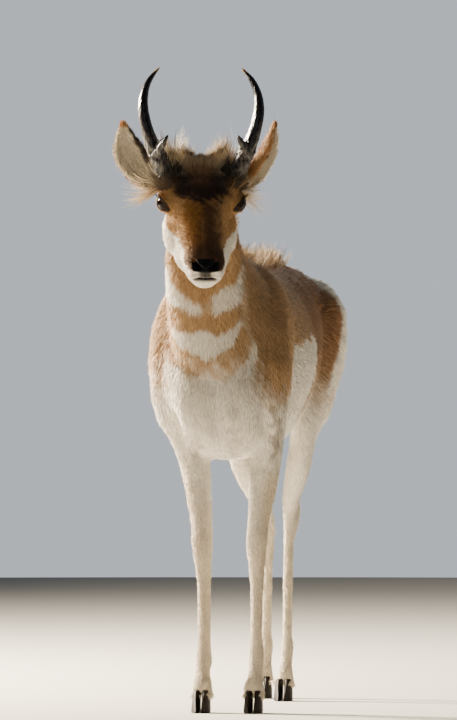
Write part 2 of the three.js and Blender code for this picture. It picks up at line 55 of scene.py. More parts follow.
sides = {"left": 1.0, "right": -1.0}


def turn(axis, angle):
    c, s = math.cos(angle), math.sin(angle)
    if axis == "X":
        return np.array(((1, 0, 0), (0, c, -s), (0, s, c)))
    return np.array(((c, -s, 0), (s, c, 0), (0, 0, 1)))


levelTurn = turn("Z", animal["headYaw"])
headTurn = levelTurn @ turn("X", animal["headPitch"])


def headPoint(out, fore, up, turned=headTurn):
    return headOrigin + turned @ np.array((out, -fore, up))


def boxMiddle(node):
    low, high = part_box(node)
    return (np.array(low) + np.array(high)) / 2


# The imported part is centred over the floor, so the animal's own origin is found from its eyes
out, fore, up = animal["eye"]
eyesFromMid = headTurn @ np.array((0, -fore, up))
eyesNow = (boxMiddle("eye_left") + boxMiddle("eye_right")) / 2
origin = eyesNow - np.array(animal["eyesMid"]) - eyesFromMid
origin[2] = 0
headOrigin = origin + np.array(animal["eyesMid"])


def inHead(points, turned=headTurn):
    local = (points - headOrigin) @ turned
    return local[:, 0], -local[:, 1], local[:, 2]


def fromHead(local):
    return headOrigin + (local * np.array((1, -1, 1))) @ headTurn.T


def eyeMiddle(side):
    return np.array((side * out, fore, up))


def ease(low, high, value):
    t = np.clip((value - low) / (high - low), 0, 1)
    return t * t * (3 - 2 * t)


def hill(value, middle, width):
    # one rounded bump of height 1
    return np.exp(-(((value - middle) / width) ** 2))


def unitRows(rows, least=1e-9):
    return rows / np.maximum(np.linalg.norm(rows, axis=1, keepdims=True), least)


def hexToLinear(text):
    rgb = [int(text[i : i + 2], 16) / 255 for i in (1, 3, 5)]
    return np.array([c / 12.92 if c <= 0.04045 else ((c + 0.055) / 1.055) ** 2.4 for c in rgb])


def wobble(points, size, seed):
    # smooth noise from a few waves, about -1 to 1, with swells as wide as size
    draw = np.random.default_rng(seed)
    total = np.zeros(len(points))
    for _ in range(6):
        wave = draw.normal(size=3)
        wave *= draw.uniform(0.6, 1.6) / np.linalg.norm(wave) * 2 * math.pi / size
        total += np.sin(points @ wave + draw.uniform(0, 6.3))
    return total / 3.0


# The skin: the solids' flesh is filled into a grid, softened, and wrapped in one surface
skinShape = {
    "cell": 0.004,
    "bodySoft": 0.010,  # how far creases between the body's masses are melted
    "fineSoft": 0.0042,  # the same on head, legs and tail
    "smoothRounds": 6,
    "edgeCells": 10,  # empty cells kept round the solids
    "feet": 0.030,  # no skin below this, where the hooves are
    "mostFaces": 24,  # faces of one solid that an upright line can meet
    "nudge": 2e-5,
}
flesh = ["head", "neck", "torso", "tail"] + [
    f"{limb}_{side}" for limb in ("foreleg", "hindleg") for side in sides
]
filled = flesh + ["eye_left", "eye_right"] + [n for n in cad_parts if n.startswith("claw")]


def pointsOf(thing):
    points = np.zeros(len(thing.data.vertices) * 3)
    thing.data.vertices.foreach_get("co", points)
    return points.reshape(-1, 3)


def setPoints(thing, points):
    thing.data.vertices.foreach_set("co", points.astype(np.float32).ravel())


def trianglesOf(thing, kind="vertices"):
    thing.data.calc_loop_triangles()
    faces = np.zeros(len(thing.data.loop_triangles) * 3, np.int64)
    thing.data.loop_triangles.foreach_get(kind, faces)
    return faces.reshape(-1, 3)


def nodeArrays(name):
    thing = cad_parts[name]
    return pointsOf(thing), trianglesOf(thing)


def spansAbove(tree, x, y, z):
    # heights at which an upright line enters and leaves a solid
    hits = []
    while len(hits) < skinShape["mostFaces"]:
        place, normal, _, _ = tree.ray_cast((x, y, z), (0, 0, 1))
        if place is None:
            break
        hits.append((place.z, normal.z < 0))
        z = place.z + skinShape["nudge"]
    depth, start, spans = 0, None, []
    for height, entering in hits:
        if entering:
            start = height if depth == 0 else start
            depth += 1
        elif depth:
            depth -= 1
            if depth == 0:
                spans.append((start, height))
    return spans


def fillGrid(low, shape, cell):
    solid = np.zeros(shape, np.float32)
    zLow = low[2] + np.arange(shape[2]) * cell - cell / 2
    for name in filled:
        points, faces = nodeArrays(name)
        tree = BVHTree.FromPolygons(points.tolist(), faces.tolist())
        first = np.maximum(((points.min(0) - low) / cell).astype(int) - 1, 0)
        last = ((points.max(0) - low) / cell).astype(int) + 2
        below = points[:, 2].min() - 0.01
        for i in range(first[0], min(last[0], shape[0])):
            for j in range(first[1], min(last[1], shape[1])):
                x, y = low[0] + i * cell + 1e-5, low[1] + j * cell + 1e-5
                for start, height in spansAbove(tree, x, y, below):
                    share = np.clip((height - zLow) / cell, 0, 1) - np.clip((start - zLow) / cell, 0, 1)
                    solid[i, j] += share.astype(np.float32)
    return np.clip(solid, 0, 1)


def soften(field, width, cell):
    reach = int(math.ceil(3 * width / cell))
    weights = np.exp(-0.5 * (np.arange(-reach, reach + 1) * cell / width) ** 2)
    weights /= weights.sum()
    for axis in range(3):
        padded = np.pad(field, [(reach, reach) if a == axis else (0, 0) for a in range(3)])
        total = np.zeros_like(field)
        for k, weight in enumerate(weights):
            window = [slice(None)] * 3
            window[axis] = slice(k, k + field.shape[axis])
            total += np.float32(weight) * padded[tuple(window)]
        field = total
    return field


def wrapSurface(field, low, cell, level=0.5):
    # one point in each cell that the surface crosses, and a square across each crossed edge
    inside = field > level
    corners = [(a, b, c) for a in (0, 1) for b in (0, 1) for c in (0, 1)]
    n = np.array(field.shape) - 1
    count = sum(
        inside[a : a + n[0], b : b + n[1], c : c + n[2]].astype(np.int8) for a, b, c in corners
    )
    active = (count > 0) & (count < 8)
    index = np.full(active.shape, -1, np.int64)
    index[active] = np.arange(active.sum())
    cells = np.argwhere(active)
    total, hits = np.zeros((len(cells), 3)), np.zeros(len(cells))
    for a in corners:
        for axis in range(3):
            if a[axis]:
                continue
            b = list(a)
            b[axis] = 1
            fa = field[tuple((cells + a).T)]
            fb = field[tuple((cells + b).T)]
            crossed = (fa > level) != (fb > level)
            share = np.where(crossed, (level - fa) / np.where(fb == fa, 1, fb - fa), 0)
            place = np.array(a, float) + share[:, None] * (np.array(b) - np.array(a))
            total[crossed] += place[crossed]
            hits += crossed
    points = low + (cells + total / hits[:, None]) * cell
    squares = []
    for axis in range(3):
        u, v = (axis + 1) % 3, (axis + 2) % 3
        here = [slice(1, -1)] * 3
        here[axis] = slice(0, -1)
        ahead = list(here)
        ahead[axis] = slice(1, None)
        a, b = inside[tuple(here)], inside[tuple(ahead)]
        spots = np.argwhere(a != b)
        offset = np.array([0 if k == axis else 1 for k in range(3)])
        base = spots + offset
        steps = np.zeros((4, 3), int)
        steps[1][u] = steps[2][u] = steps[2][v] = steps[3][v] = -1
        ring = np.stack([index[tuple((base + step).T)] for step in steps], 1)
        leaving = a[tuple(spots.T)]
        ring[~leaving] = ring[~leaving][:, ::-1]
        squares.append(ring)
    squares = np.concatenate(squares)
    return points, squares[(squares >= 0).all(1)]


def normalsOf(points, faces):
    total = np.zeros_like(points)
    a, b = points[faces[:, 2]] - points[faces[:, 0]], points[faces[:, -1]] - points[faces[:, 1]]
    cross = np.cross(a, b)
    for k in range(faces.shape[1]):
        for axis in range(3):
            total[:, axis] += np.bincount(faces[:, k], cross[:, axis], len(points))
    return unitRows(total, 1e-12)


def smoothed(points, faces, rounds, share=0.5, keep=None):
    edges = np.concatenate([faces[:, [k, (k + 1) % faces.shape[1]]] for k in range(faces.shape[1])])
    a = np.concatenate([edges[:, 0], edges[:, 1]])
    b = np.concatenate([edges[:, 1], edges[:, 0]])
    count = np.maximum(np.bincount(a, minlength=len(points)), 1)
    for _ in range(rounds):
        mean = np.stack([np.bincount(a, points[b, k], len(points)) for k in range(3)], 1) / count[:, None]
        step = share * (mean - points)
        points = points + (step if keep is None else step * keep[:, None])
    return points


def buildSkinArrays():
    cell = skinShape["cell"]
    edge = skinShape["edgeCells"] * cell
    allPoints = np.concatenate([nodeArrays(name)[0] for name in filled])
    low, high = allPoints.min(0) - edge, allPoints.max(0) + edge
    shape = tuple(((high - low) / cell).astype(int) + 1)
    solid = fillGrid(low, shape, cell)
    axes = [low[k] + np.arange(shape[k]) * cell for k in range(3)]
    y, z = (axes[1] - origin[1])[None, :, None], axes[2][None, None, :]
    solid = solid * (z > skinShape["feet"])
    fine, wide = soften(solid, skinShape["fineSoft"], cell), soften(solid, skinShape["bodySoft"], cell)
    # the body is soft above the legs, the head fine in front of the poll, the nape soft behind it
    trunk = ease(0.49, 0.57, z) * ease(-0.235, -0.19, y + 0.55 * (z - 0.93)) * ease(0.70, 0.66, y)
    crown = ease(1.035, 1.06, z + 0 * y)
    share = np.clip(trunk + crown, 0, 1).astype(np.float32)
    points, faces = wrapSurface(fine + (wide - fine) * share, low, cell)
    return smoothed(points, faces, skinShape["smoothRounds"]), faces


skinPoints, skinFaces = buildSkinArrays()
print(f"skin wrapped: {len(skinPoints)} points")


def coatDepth(points):
    # how far the skin lies under the solids' outer face, which stands for the tips of the hair
    _, y, z = (points - origin).T
    hf = inHead(points)[1]
    depth = 0.0065 * np.ones(len(points))
    depth = depth + 0.003 * ease(0.52, 0.62, y) * ease(0.56, 0.66, z)
    legs = ease(0.52, 0.44, z)
    depth = depth * (1 - legs) + 0.0022 * legs
    depth = depth * (1 - ease(0.14, 0.07, z)) + 0.0012 * ease(0.14, 0.07, z)
    head = ease(-0.21, -0.25, y + 0.5 * (z - 0.93))
    face = 0.003 - 0.0022 * ease(0.11, 0.16, hf)
    return depth * (1 - head) + face * head


skinPoints = skinPoints - normalsOf(skinPoints, skinFaces) * coatDepth(skinPoints)[:, None]


def meshFrom(name, points, faces):
    mesh = bpy.data.meshes.new(name)
    mesh.vertices.add(len(points))
    mesh.vertices.foreach_set("co", np.asarray(points, np.float32).ravel())
    size = faces.shape[1]
    mesh.loops.add(faces.size)
    mesh.loops.foreach_set("vertex_index", faces.astype(np.int32).ravel())
    mesh.polygons.add(len(faces))
    mesh.polygons.foreach_set("loop_start", np.arange(0, faces.size, size, dtype=np.int32))
    mesh.polygons.foreach_set("use_smooth", np.ones(len(faces), bool))
    mesh.update(calc_edges=True)
    mesh.validate()
    made = bpy.data.objects.new(name, mesh)
    bpy.context.scene.collection.objects.link(made)
    return made


def applied(thing):
    # the object's evaluated shape as a plain mesh of its own
    graph = bpy.context.evaluated_depsgraph_get()
    mesh = bpy.data.meshes.new_from_object(thing.evaluated_get(graph))
    thing.modifiers.clear()
    thing.data = mesh
    return thing


def reworked(thing, change):
    work = bmesh.new()
    work.from_mesh(thing.data)
    change(work)
    work.to_mesh(thing.data)
    work.free()


def smoothShaded(thing):
    thing.data.polygons.foreach_set("use_smooth", np.ones(len(thing.data.polygons), bool))


def copyOfNode(name, newName, levels):
    # a merged, rounded copy of a solid
    points, faces = nodeArrays(name)
    made = meshFrom(newName, points, faces)

    def merge(work):
        bmesh.ops.remove_doubles(work, verts=work.verts, dist=2e-5)
        bmesh.ops.dissolve_degenerate(work, edges=work.edges, dist=1e-5)

    reworked(made, merge)
    if levels:
        rounding = made.modifiers.new("rounding", "SUBSURF")
        rounding.levels = rounding.render_levels = levels
        applied(made)
    smoothShaded(made)
    return made


# The ears' line: out, forward, up, and the way each cup opens
earAxis = np.array((
    (0.050, -0.044, -0.004), (0.070, -0.050, 0.012), (0.093, -0.054, 0.034), (0.114, -0.056, 0.062),
    (0.128, -0.056, 0.092), (0.137, -0.054, 0.120), (0.143, -0.052, 0.144),
))
earHalfWidth = [
    (-0.004, 0.019), (0.012, 0.021), (0.034, 0.0255), (0.062, 0.027),
    (0.092, 0.0235), (0.120, 0.015), (0.144, 0.004),
]
earOpening = {"right": (-math.sin(0.35), math.cos(0.35)), "left": (math.sin(1.25), math.cos(1.25))}

skin = meshFrom("skin", skinPoints, skinFaces)
earSkins = [copyOfNode(f"ear_{side}", f"earSkin_{side}", 2) for side in sides]
for ear in earSkins:
    # the rim is worn thin and the root reaches into the head, so that the two join
    points = pointsOf(ear)
    hx, _, hu = inHead(points, levelTurn)
    side = math.copysign(1, hx.mean())
    root = ease(0.034, 0.016, hu)
    broad = hill(hu, 0.085, 0.045)
    axisOut = np.interp(hu, earAxis[:, 2], earAxis[:, 0]) * side
    points += levelTurn[:, 0] * ((0.30 * (hx - axisOut) + 0.004 * side) * broad)[:, None]
    toward = headPoint(side * 0.030, -0.034, 0.004, levelTurn) - points
    points += toward * (0.55 * root)[:, None]
    setPoints(ear, points)
    join = skin.modifiers.new("join", "BOOLEAN")
    join.operation, join.solver, join.object = "UNION", "MANIFOLD", ear
    before = len(skin.data.vertices)
    applied(skin)
    print(f"{ear.name} joined: {before} to {len(skin.data.vertices)} points")
    bpy.data.objects.remove(ear)


def refineFaces(thing, chosen):
    # halves the edges of the faces whose middles are chosen
    def halve(work):
        work.faces.ensure_lookup_table()
        mask = chosen(np.array([f.calc_center_median()[:] for f in work.faces]))
        edges = {e for f, m in zip(work.faces, mask) if m for e in f.edges}
        bmesh.ops.subdivide_edges(work, edges=list(edges), cuts=1, use_grid_fill=True)
        bmesh.ops.triangulate(work, faces=[f for f in work.faces if len(f.verts) > 4])

    reworked(thing, halve)


def nearFace(middles):
    hx, hf, hu = inHead(middles)
    return (hf > -0.045) & (hf < 0.22) & (np.abs(hx) < 0.1) & (np.abs(hu) < 0.12)


def nearDetail(middles):
    _, hf, hu = inHead(middles)
    close = (hf > 0.15) & (hf < 0.22) & (hu > -0.085)
    for side in sides.values():
        close |= np.linalg.norm(middles - fromHead(eyeMiddle(side)), axis=1) < 0.036
    return close


refineFaces(skin, nearFace)
refineFaces(skin, nearDetail)
reworked(skin, lambda work: bmesh.ops.triangulate(work, faces=work.faces))
print(f"skin refined: {len(skin.data.vertices)} points")

# Sculpting moves on the skin, in the head's own frame
face = {
    "lidThickness": 0.0013,
    "slitHalf": (0.0152, 0.0090),
    "slitTilt": math.radians(-9),
    "gazeForward": math.radians(36),
    "gazeUp": 0.24,
    "nostril": (0.0165, 0.1815, -0.0105),
    "mouth": [(0, 0.1985, -0.0315), (0.012, 0.196, -0.0325), (0.022, 0.188, -0.036),
              (0.031, 0.171, -0.042), (0.036, 0.149, -0.047), (0.039, 0.126, -0.050)],
}


def eyeAxes(side):
    # out of the socket, along the slit, and across it
    tilt, forward = face["slitTilt"], face["gazeForward"]
    gaze = np.array((side * math.cos(forward), math.sin(forward), face["gazeUp"]))
    along = np.array((-side * math.sin(forward), math.cos(forward), 0))
    gaze /= np.linalg.norm(gaze)
    across = np.cross(gaze, along) * side
    across *= math.copysign(1, across[2])
    slit = along * math.cos(tilt) + across * math.sin(tilt)
    lid = -along * math.sin(tilt) + across * math.cos(tilt)
    return gaze, slit, lid


def slitView(local, side):
    # direction and distance from the eye's middle, how far it faces out, and place in the slit, 1 at its rim
    gaze, slit, lid = eyeAxes(side)
    offset = local - eyeMiddle(side)
    distance = np.maximum(np.linalg.norm(offset, axis=1), 1e-6)
    unit = offset / distance[:, None]
    halves = np.array(face["slitHalf"]) / animal["eyeRadius"]
    return unit, distance, unit @ gaze, unit @ slit / halves[0], unit @ lid / halves[1]


def lineDistance(points, line):
    best = np.full(len(points), 9.0)
    for a, b in zip(line[:-1], line[1:]):
        a, b = np.array(a), np.array(b)
        t = np.clip((points - a) @ (b - a) / ((b - a) @ (b - a)), 0, 1)
        best = np.minimum(best, np.linalg.norm(points - a - t[:, None] * (b - a), axis=1))
    return best


def mouthAway(local):
    # distance from the parting of the lips, which in front is a matter of height alone
    half = face["mouth"]
    line = [(-x, y, z) for x, y, z in half[:0:-1]] + half
    apart = np.abs(local[:, 0])
    level = np.interp(apart, [p[0] for p in half], [p[2] for p in half])
    front = np.hypot(local[:, 2] - level, 0.03 * ease(0.17, 0.15, local[:, 1]))
    side = lineDistance(local, line)
    return np.where(apart < 0.022, front, side)


# Forms of the face: middle, size, and push outwards, left and right alike
faceForms = [
    ((0.050, 0.012, 0.030), (0.016, 0.024, 0.016), 0.0035),  # brow
    ((0.060, 0.045, -0.030), (0.020, 0.030, 0.012), 0.0022),  # cheek ridge
    ((0.044, 0.085, -0.012), (0.016, 0.034, 0.016), -0.0028),  # hollow before the eye
    ((0.040, 0.110, -0.050), (0.02, 0.03, 0.02), 0.0018),  # jaw
]


def sculptHead(points):
    local = np.stack(inHead(points), 1)
    radius = animal["eyeRadius"]
    for side in sides.values():
        for place, size, lift in faceForms:
            away = (local - np.array((side, 1, 1)) * place) / np.array(size)
            local[:, 0] += side * lift * np.exp(-(away**2).sum(1))
        unit, distance, outward, u, v = slitView(local, side)
        # the slit is pointed at both corners
        almond = np.abs(u) ** 1.6 + np.abs(v) ** 2
        facing = (outward > 0.1) & (distance < radius + 0.020)
        lidRadius = radius + face["lidThickness"] + 0.0012 * hill(almond, 1.3, 0.35)
        pull = ease(radius + 0.016, radius + 0.004, distance) * ease(4.5, 2.0, almond)
        rim = facing & (almond >= 1) & (almond < 4.5)
        distance = np.where(rim, distance + (lidRadius - distance) * pull, distance)
        sunk = radius - 0.0006 - 0.0045 * ease(1.0, 0.8, almond)
        distance = np.where(facing & (almond < 1), sunk, distance)
        local = eyeMiddle(side) + unit * distance[:, None]
    # nostrils run from low in the middle to high outside, each with a swollen wing above it
    for side in sides.values():
        nx, nf, nu = face["nostril"]
        offset = local - np.array((side * nx, nf, nu))
        run = np.array((side * 0.80, -0.36, 0.48))
        outOf = np.array((side * 0.28, 0.80, 0.53))
        rise = np.cross(outOf, run) * side
        rise *= math.copysign(1, rise[2])
        a, b, depth = offset @ run, offset @ rise, np.abs(offset @ outOf)
        close = ease(0.016, 0.010, depth)
        pit = np.exp(-((a / 0.0100) ** 4) - ((b + 0.0012 - 18 * a**2) / 0.0040) ** 2) * close
        wing = np.exp(-((a / 0.0120) ** 4) - ((b - 0.0068) / 0.0034) ** 2) * close
        local -= outOf * (0.0105 * pit - 0.0022 * wing)[:, None]
    away = mouthAway(local)
    groove = 0.0045 * hill(away, 0, 0.0022)
    lips = 0.0016 * hill(away, 0.0058, 0.0028)
    outward = unitRows((local - np.array((0, 0.13, -0.040))) * np.array((1, 0.7, 0.5)), 1e-6)
    local += outward * (lips - groove)[:, None]
    # the upper lip is split up to the nose
    split = hill(local[:, 0], 0, 0.0015) * ease(0.175, 0.185, local[:, 1])
    split *= ease(-0.011, -0.015, local[:, 2]) * ease(-0.034, -0.030, local[:, 2])
    local[:, 1] -= 0.0028 * split
    return fromHead(local)


# Forms of the trunk and legs: middle, size, and lift along the skin's own normal, left and right alike
bodyForms = [
    ((0.118, -0.020, 0.74), (0.05, 0.020, 0.09), -0.0030),  # front of the shoulder blade
    ((0.122, 0.075, 0.66), (0.05, 0.030, 0.10), -0.0060),  # hollow behind the shoulder
    ((0.120, 0.020, 0.60), (0.04, 0.030, 0.05), 0.0045),  # muscle above the elbow
    ((0.075, 0.050, 0.515), (0.03, 0.020, 0.022), 0.0060),  # point of the elbow
    ((0.105, 0.395, 0.60), (0.05, 0.035, 0.06), -0.0075),  # flank in front of the thigh
    ((0.110, 0.500, 0.78), (0.05, 0.035, 0.035), 0.0040),  # point of the hip
    ((0.070, 0.620, 0.70), (0.03, 0.030, 0.08), -0.0030),  # back edge of the thigh muscle
    ((0.000, -0.140, 0.58), (0.016, 0.050, 0.07), -0.0100),  # furrow of the breast
    ((0.050, -0.140, 0.60), (0.03, 0.040, 0.06), 0.0070),  # breast muscle
    ((0.085, -0.100, 0.545), (0.012, 0.06, 0.050), -0.0110),  # fold between breast and foreleg
    ((0.070, -0.030, 0.335), (0.03, 0.03, 0.020), 0.0035),  # knee
]


def sculptBody(points, normals):
    x, y, z = (points - origin).T
    lift = np.zeros(len(points))
    for (mx, my, mz), (sx, sy, sz), height in bodyForms:
        away = ((np.abs(x) - mx) / sx) ** 2 + ((y - my) / sy) ** 2 + ((z - mz) / sz) ** 2
        lift += height * np.exp(-away)
    # ribs barely show through the coat
    ribs = ease(0.10, 0.14, y) * ease(0.36, 0.30, y) * ease(0.56, 0.62, z) * ease(0.80, 0.74, z)
    lift += 0.0007 * ribs * np.sin((y + 0.25 * z) / 0.034 * 2 * math.pi) * (np.abs(x) > 0.06)
    lift += 0.0010 * wobble(points, 0.09, 5) * ease(0.5, 0.6, z) * ease(-0.25, -0.15, y)
    return points + normals * lift[:, None]


def skinArrays():
    return pointsOf(skin), trianglesOf(skin)


points, faces = skinArrays()
earOut, _, earUp = inHead(points, levelTurn)
onEar = ease(0.060, 0.075, np.abs(earOut)) * ease(0.008, 0.024, earUp)
points = smoothed(points, faces, 3, 0.5, keep=1 - 0.8 * onEar)
points = sculptBody(points, normalsOf(points, faces))
points = sculptHead(points)
setPoints(skin, points)
smoothShaded(skin)
skin.data.update()
print("skin sculpted")

# Colours of the coat, as they are in flat light
coatLooks = {
    "tan": "#bd9a70",
    "sideTan": "#a98b6a",
    "rumpBrown": "#9c7550",
    "thighBrown": "#7d5b3e",
    "white": "#efe9dc",
    "cream": "#e3d2b2",
    "faceTan": "#bb925f",
    "faceGold": "#96692f",
    "faceBrown": "#4a3020",
    "mask": "#2f2019",
    "maskBlack": "#17100d",
    "muzzle": "#573c27",
    "noseBlack": "#0c090a",
    "lip": "#3b3634",
    "crownTan": "#8a6f52",
    "earBack": "#b98a54",
    "earCream": "#ddd2bb",
    "earRim": "#33211a",
    "maskBrown": "#5b402b",
    "foldShade": "#75634f",
}
coatColours = {name: hexToLinear(text) for name, text in coatLooks.items()}

# Edges of the throat bands: distance across the breast and height, millimetres, as seen a little from the left
throatBands = {
    "collarLower": [
        (-126, 884), (-119, 864), (-115, 843), (-107, 826), (-99, 810), (-88, 802), (-80, 792), (-67, 785),
        (-55, 781), (-36, 799), (-25, 805), (-10, 815), (2, 822), (12, 836), (17, 851), (30, 890),
    ],
    "band2Upper": [
        (-115, 794), (-104, 783), (-91, 780), (-77, 763), (-61, 763), (-23, 763), (-4, 775), (12, 785), (20, 789),
    ],
    "band2Lower": [
        (-110, 744), (-91, 734), (-74, 728), (-59, 734), (-45, 732), (-29, 725), (-10, 729), (6, 744), (17, 753),
    ],
    "band3Upper": [
        (-110, 744), (-104, 725), (-93, 709), (-80, 701), (-67, 687), (-59, 684), (-45, 676), (-26, 687),
        (-7, 698), (2, 701), (12, 721), (20, 741),
    ],
    "band3Lower": [
        (-120, 693), (-115, 676), (-99, 662), (-86, 652), (-67, 647), (-42, 647), (-28, 646), (-10, 636),
        (9, 654), (28, 674), (39, 699), (41, 712), (42, 800),
    ],
    # height, then distance across
    "neckEdge": [(640, 44), (693, 40), (715, 36), (745, 24), (800, 20), (900, 24)],
    "shoulderEdge": [(600, 46), (615, 44), (630, 33), (652, 44), (693, 50), (715, 41), (730, 36)],
}
# Edges of the white patches seen from the side, in metres: where, then height or place along the body
sideEdges = {
    "flankTop": [(-0.2, 0.606), (0.020, 0.606), (0.045, 0.700), (0.14, 0.706), (0.24, 0.716), (0.295, 0.722)],
    "thigh": [
        (0.56, 0.20), (0.60, 0.25), (0.618, 0.275), (0.647, 0.302), (0.674, 0.318), (0.698, 0.321), (0.72, 0.309),
    ],
    "thighFoot": [(0.2, 0.56), (0.3, 0.59), (0.5, 0.605)],
    "elbow": [(-0.1, 0.618), (0.03, 0.64), (0.045, 0.635), (0.06, 0.61), (0.09, 0.578), (0.12, 0.565)],
    "rumpPatch": [
        (0.60, 0.47), (0.662, 0.497), (0.69, 0.512), (0.72, 0.521), (0.76, 0.529), (0.813, 0.524), (0.836, 0.512),
    ],
}
stalk = (-0.054, -0.036)  # tan line that parts the first crescent
# Shade in the folds of the breast: place across, width, strength, lowest, highest
breastFolds = [
    (0.086, 0.009, 0.65, 0.49, 0.60),
    (-0.064, 0.008, 0.45, 0.485, 0.53),
    (0.004, 0.010, 0.28, 0.50, 0.60),
]


def edgeAt(edge, value):
    edge = np.array(edge, float)
    return np.interp(value, edge[:, 0], edge[:, 1])


def bandEdge(name, value):
    return edgeAt(np.array(throatBands[name]) / 1000, value)


def mixed(base, colour, share):
    return base + (colour - base) * share[:, None]


def over(base, name, share):
    return mixed(base, coatColours[name], share)


def bodyColours(points):
    x, y, z = (points - origin).T
    ragged = 0.004 * wobble(points, 0.030, 11) + 0.0025 * wobble(points, 0.012, 12)
    soft = 0.006
    colour = np.tile(coatColours["tan"], (len(points), 1))
    colour = over(colour, "sideTan", ease(0.05, 0.2, y) * 0.8)
    colour = over(colour, "rumpBrown", ease(0.25, 0.34, y) * ease(0.60, 0.68, z))
    thigh = hill(y, 0.375, 0.075) * hill(z, 0.725, 0.075)
    colour = over(colour, "thighBrown", 0.75 * thigh * ease(0.30, 0.335, y))
    # the breast, from below the third band
    across = 0.985 * x + 0.174 * y
    breast = ease(soft, -soft, z - bandEdge("band3Lower", across) + ragged)
    breast = breast * ease(-0.130, -0.112, across + ragged) * ease(0.055, 0.0, y + 0.25 * np.abs(x))
    breast = breast * ease(soft, -soft, across - bandEdge("shoulderEdge", z) + ragged)
    # the belly line rises behind the shoulder to a squared white patch on the flank
    fade = np.interp(y, (0.015, 0.045), (0.050, 1.6 * soft))
    above = (edgeAt(sideEdges["flankTop"], y) - z) / fade
    before = 1.2 * (edgeAt(sideEdges["thigh"], z) - y) / (1.6 * soft)
    flank = np.clip(0.5 + np.minimum(above, before) + ragged / soft, 0, 1)
    flank = flank * ease(-0.03, 0.01, y + 0.10 * ease(0.64, 0.56, z))
    # thigh and shoulder fade to white downward
    spread = np.interp(y, (0.24, 0.34), (0.018, 0.055))
    lower = ease(1, -1, (z - edgeAt(sideEdges["thighFoot"], y) + 2 * ragged) / spread)
    chestLow = ease(0.075, -0.050, z - edgeAt(sideEdges["elbow"], across) + 5 * ragged) * ease(0.06, 0.02, y)
    patch = ease(-soft, soft, y - edgeAt(sideEdges["rumpPatch"], z) + 0.6 * ragged) * ease(0.56, 0.62, z)
    colour = over(colour, "white", np.max([breast, flank, lower, chestLow, patch], axis=0))
    # throat: white crescents between tan bands
    neckEdge = bandEdge("neckEdge", z)
    fold = hill(across, neckEdge + 0.004, 0.005) * ease(0.0, -0.03, y)
    colour = over(colour, "cream", 0.45 * fold * ease(0.86, 0.80, z) * ease(0.62, 0.68, z))
    bands = []
    for top, bottom in (("collarLower", "band2Upper"), ("band2Lower", "band3Upper")):
        inside = np.minimum(bandEdge(top, across) - z, z - bandEdge(bottom, across))
        bands.append(np.clip(0.5 + (inside + ragged) / soft, 0, 1))
    low, high = stalk
    parting = ease(low - 0.005, low + 0.003, across + ragged) * ease(high + 0.005, high - 0.003, across + ragged)
    bands[0] = bands[0] * (1 - 0.8 * parting)
    bands[1] = bands[1] * ease(-0.113, -0.104, across + ragged)
    throat = ease(soft, -soft, across - neckEdge + ragged) * ease(-0.02, -0.06, y + 0.3 * (z - 0.7))
    colour = over(colour, "white", np.maximum(*bands) * throat)
    # outer face of each leg keeps a wash of cream
    outer = ease(0.0, 0.03, np.abs(x) - np.interp(z, (0, 0.25, 0.5), (0.045, 0.045, 0.06)))
    wash = 0.75 * outer * ease(0.50, 0.42, z) * ease(0.05, 0.10, z)
    colour = over(colour, "cream", np.maximum(wash, 0.55 * ease(0.45, 0.25, z)))
    for place, width, share, low, high in breastFolds:
        share = share * ease(low - 0.02, low + 0.01, z) * ease(high + 0.03, high - 0.03, z)
        colour = over(colour, "foldShade", share * hill(across + 2 * ragged, place, width) * (y < -0.02))
    shin = hill(x, np.where(x > 0, 0.075, -0.060), 0.018) * ease(0.46, 0.36, z) * ease(0.06, 0.12, z) * (y < 0.1)
    return over(colour, "sideTan", 0.22 * shin * (1 + 0.5 * wobble(points, 0.05, 13)))


# Edges on the head, in metres: the mask's lower edge by distance out, the white cheek's by place forward
headEdges = {
    "mask": [(0.0, 0.041), (0.013, 0.0365), (0.035, 0.023), (0.052, 0.008), (0.068, -0.014)],
    "cheek": [
        (-0.08, -0.030), (-0.04, -0.038), (0.02, -0.042), (0.048, -0.038), (0.09, -0.029),
        (0.119, -0.023), (0.14, -0.032), (0.16, -0.028), (0.190, -0.0165), (0.2, -0.015),
    ],
    "nosePad": [(-0.019, 0.016), (-0.017, 0.024), (-0.010, 0.0305), (-0.004, 0.027)],
}


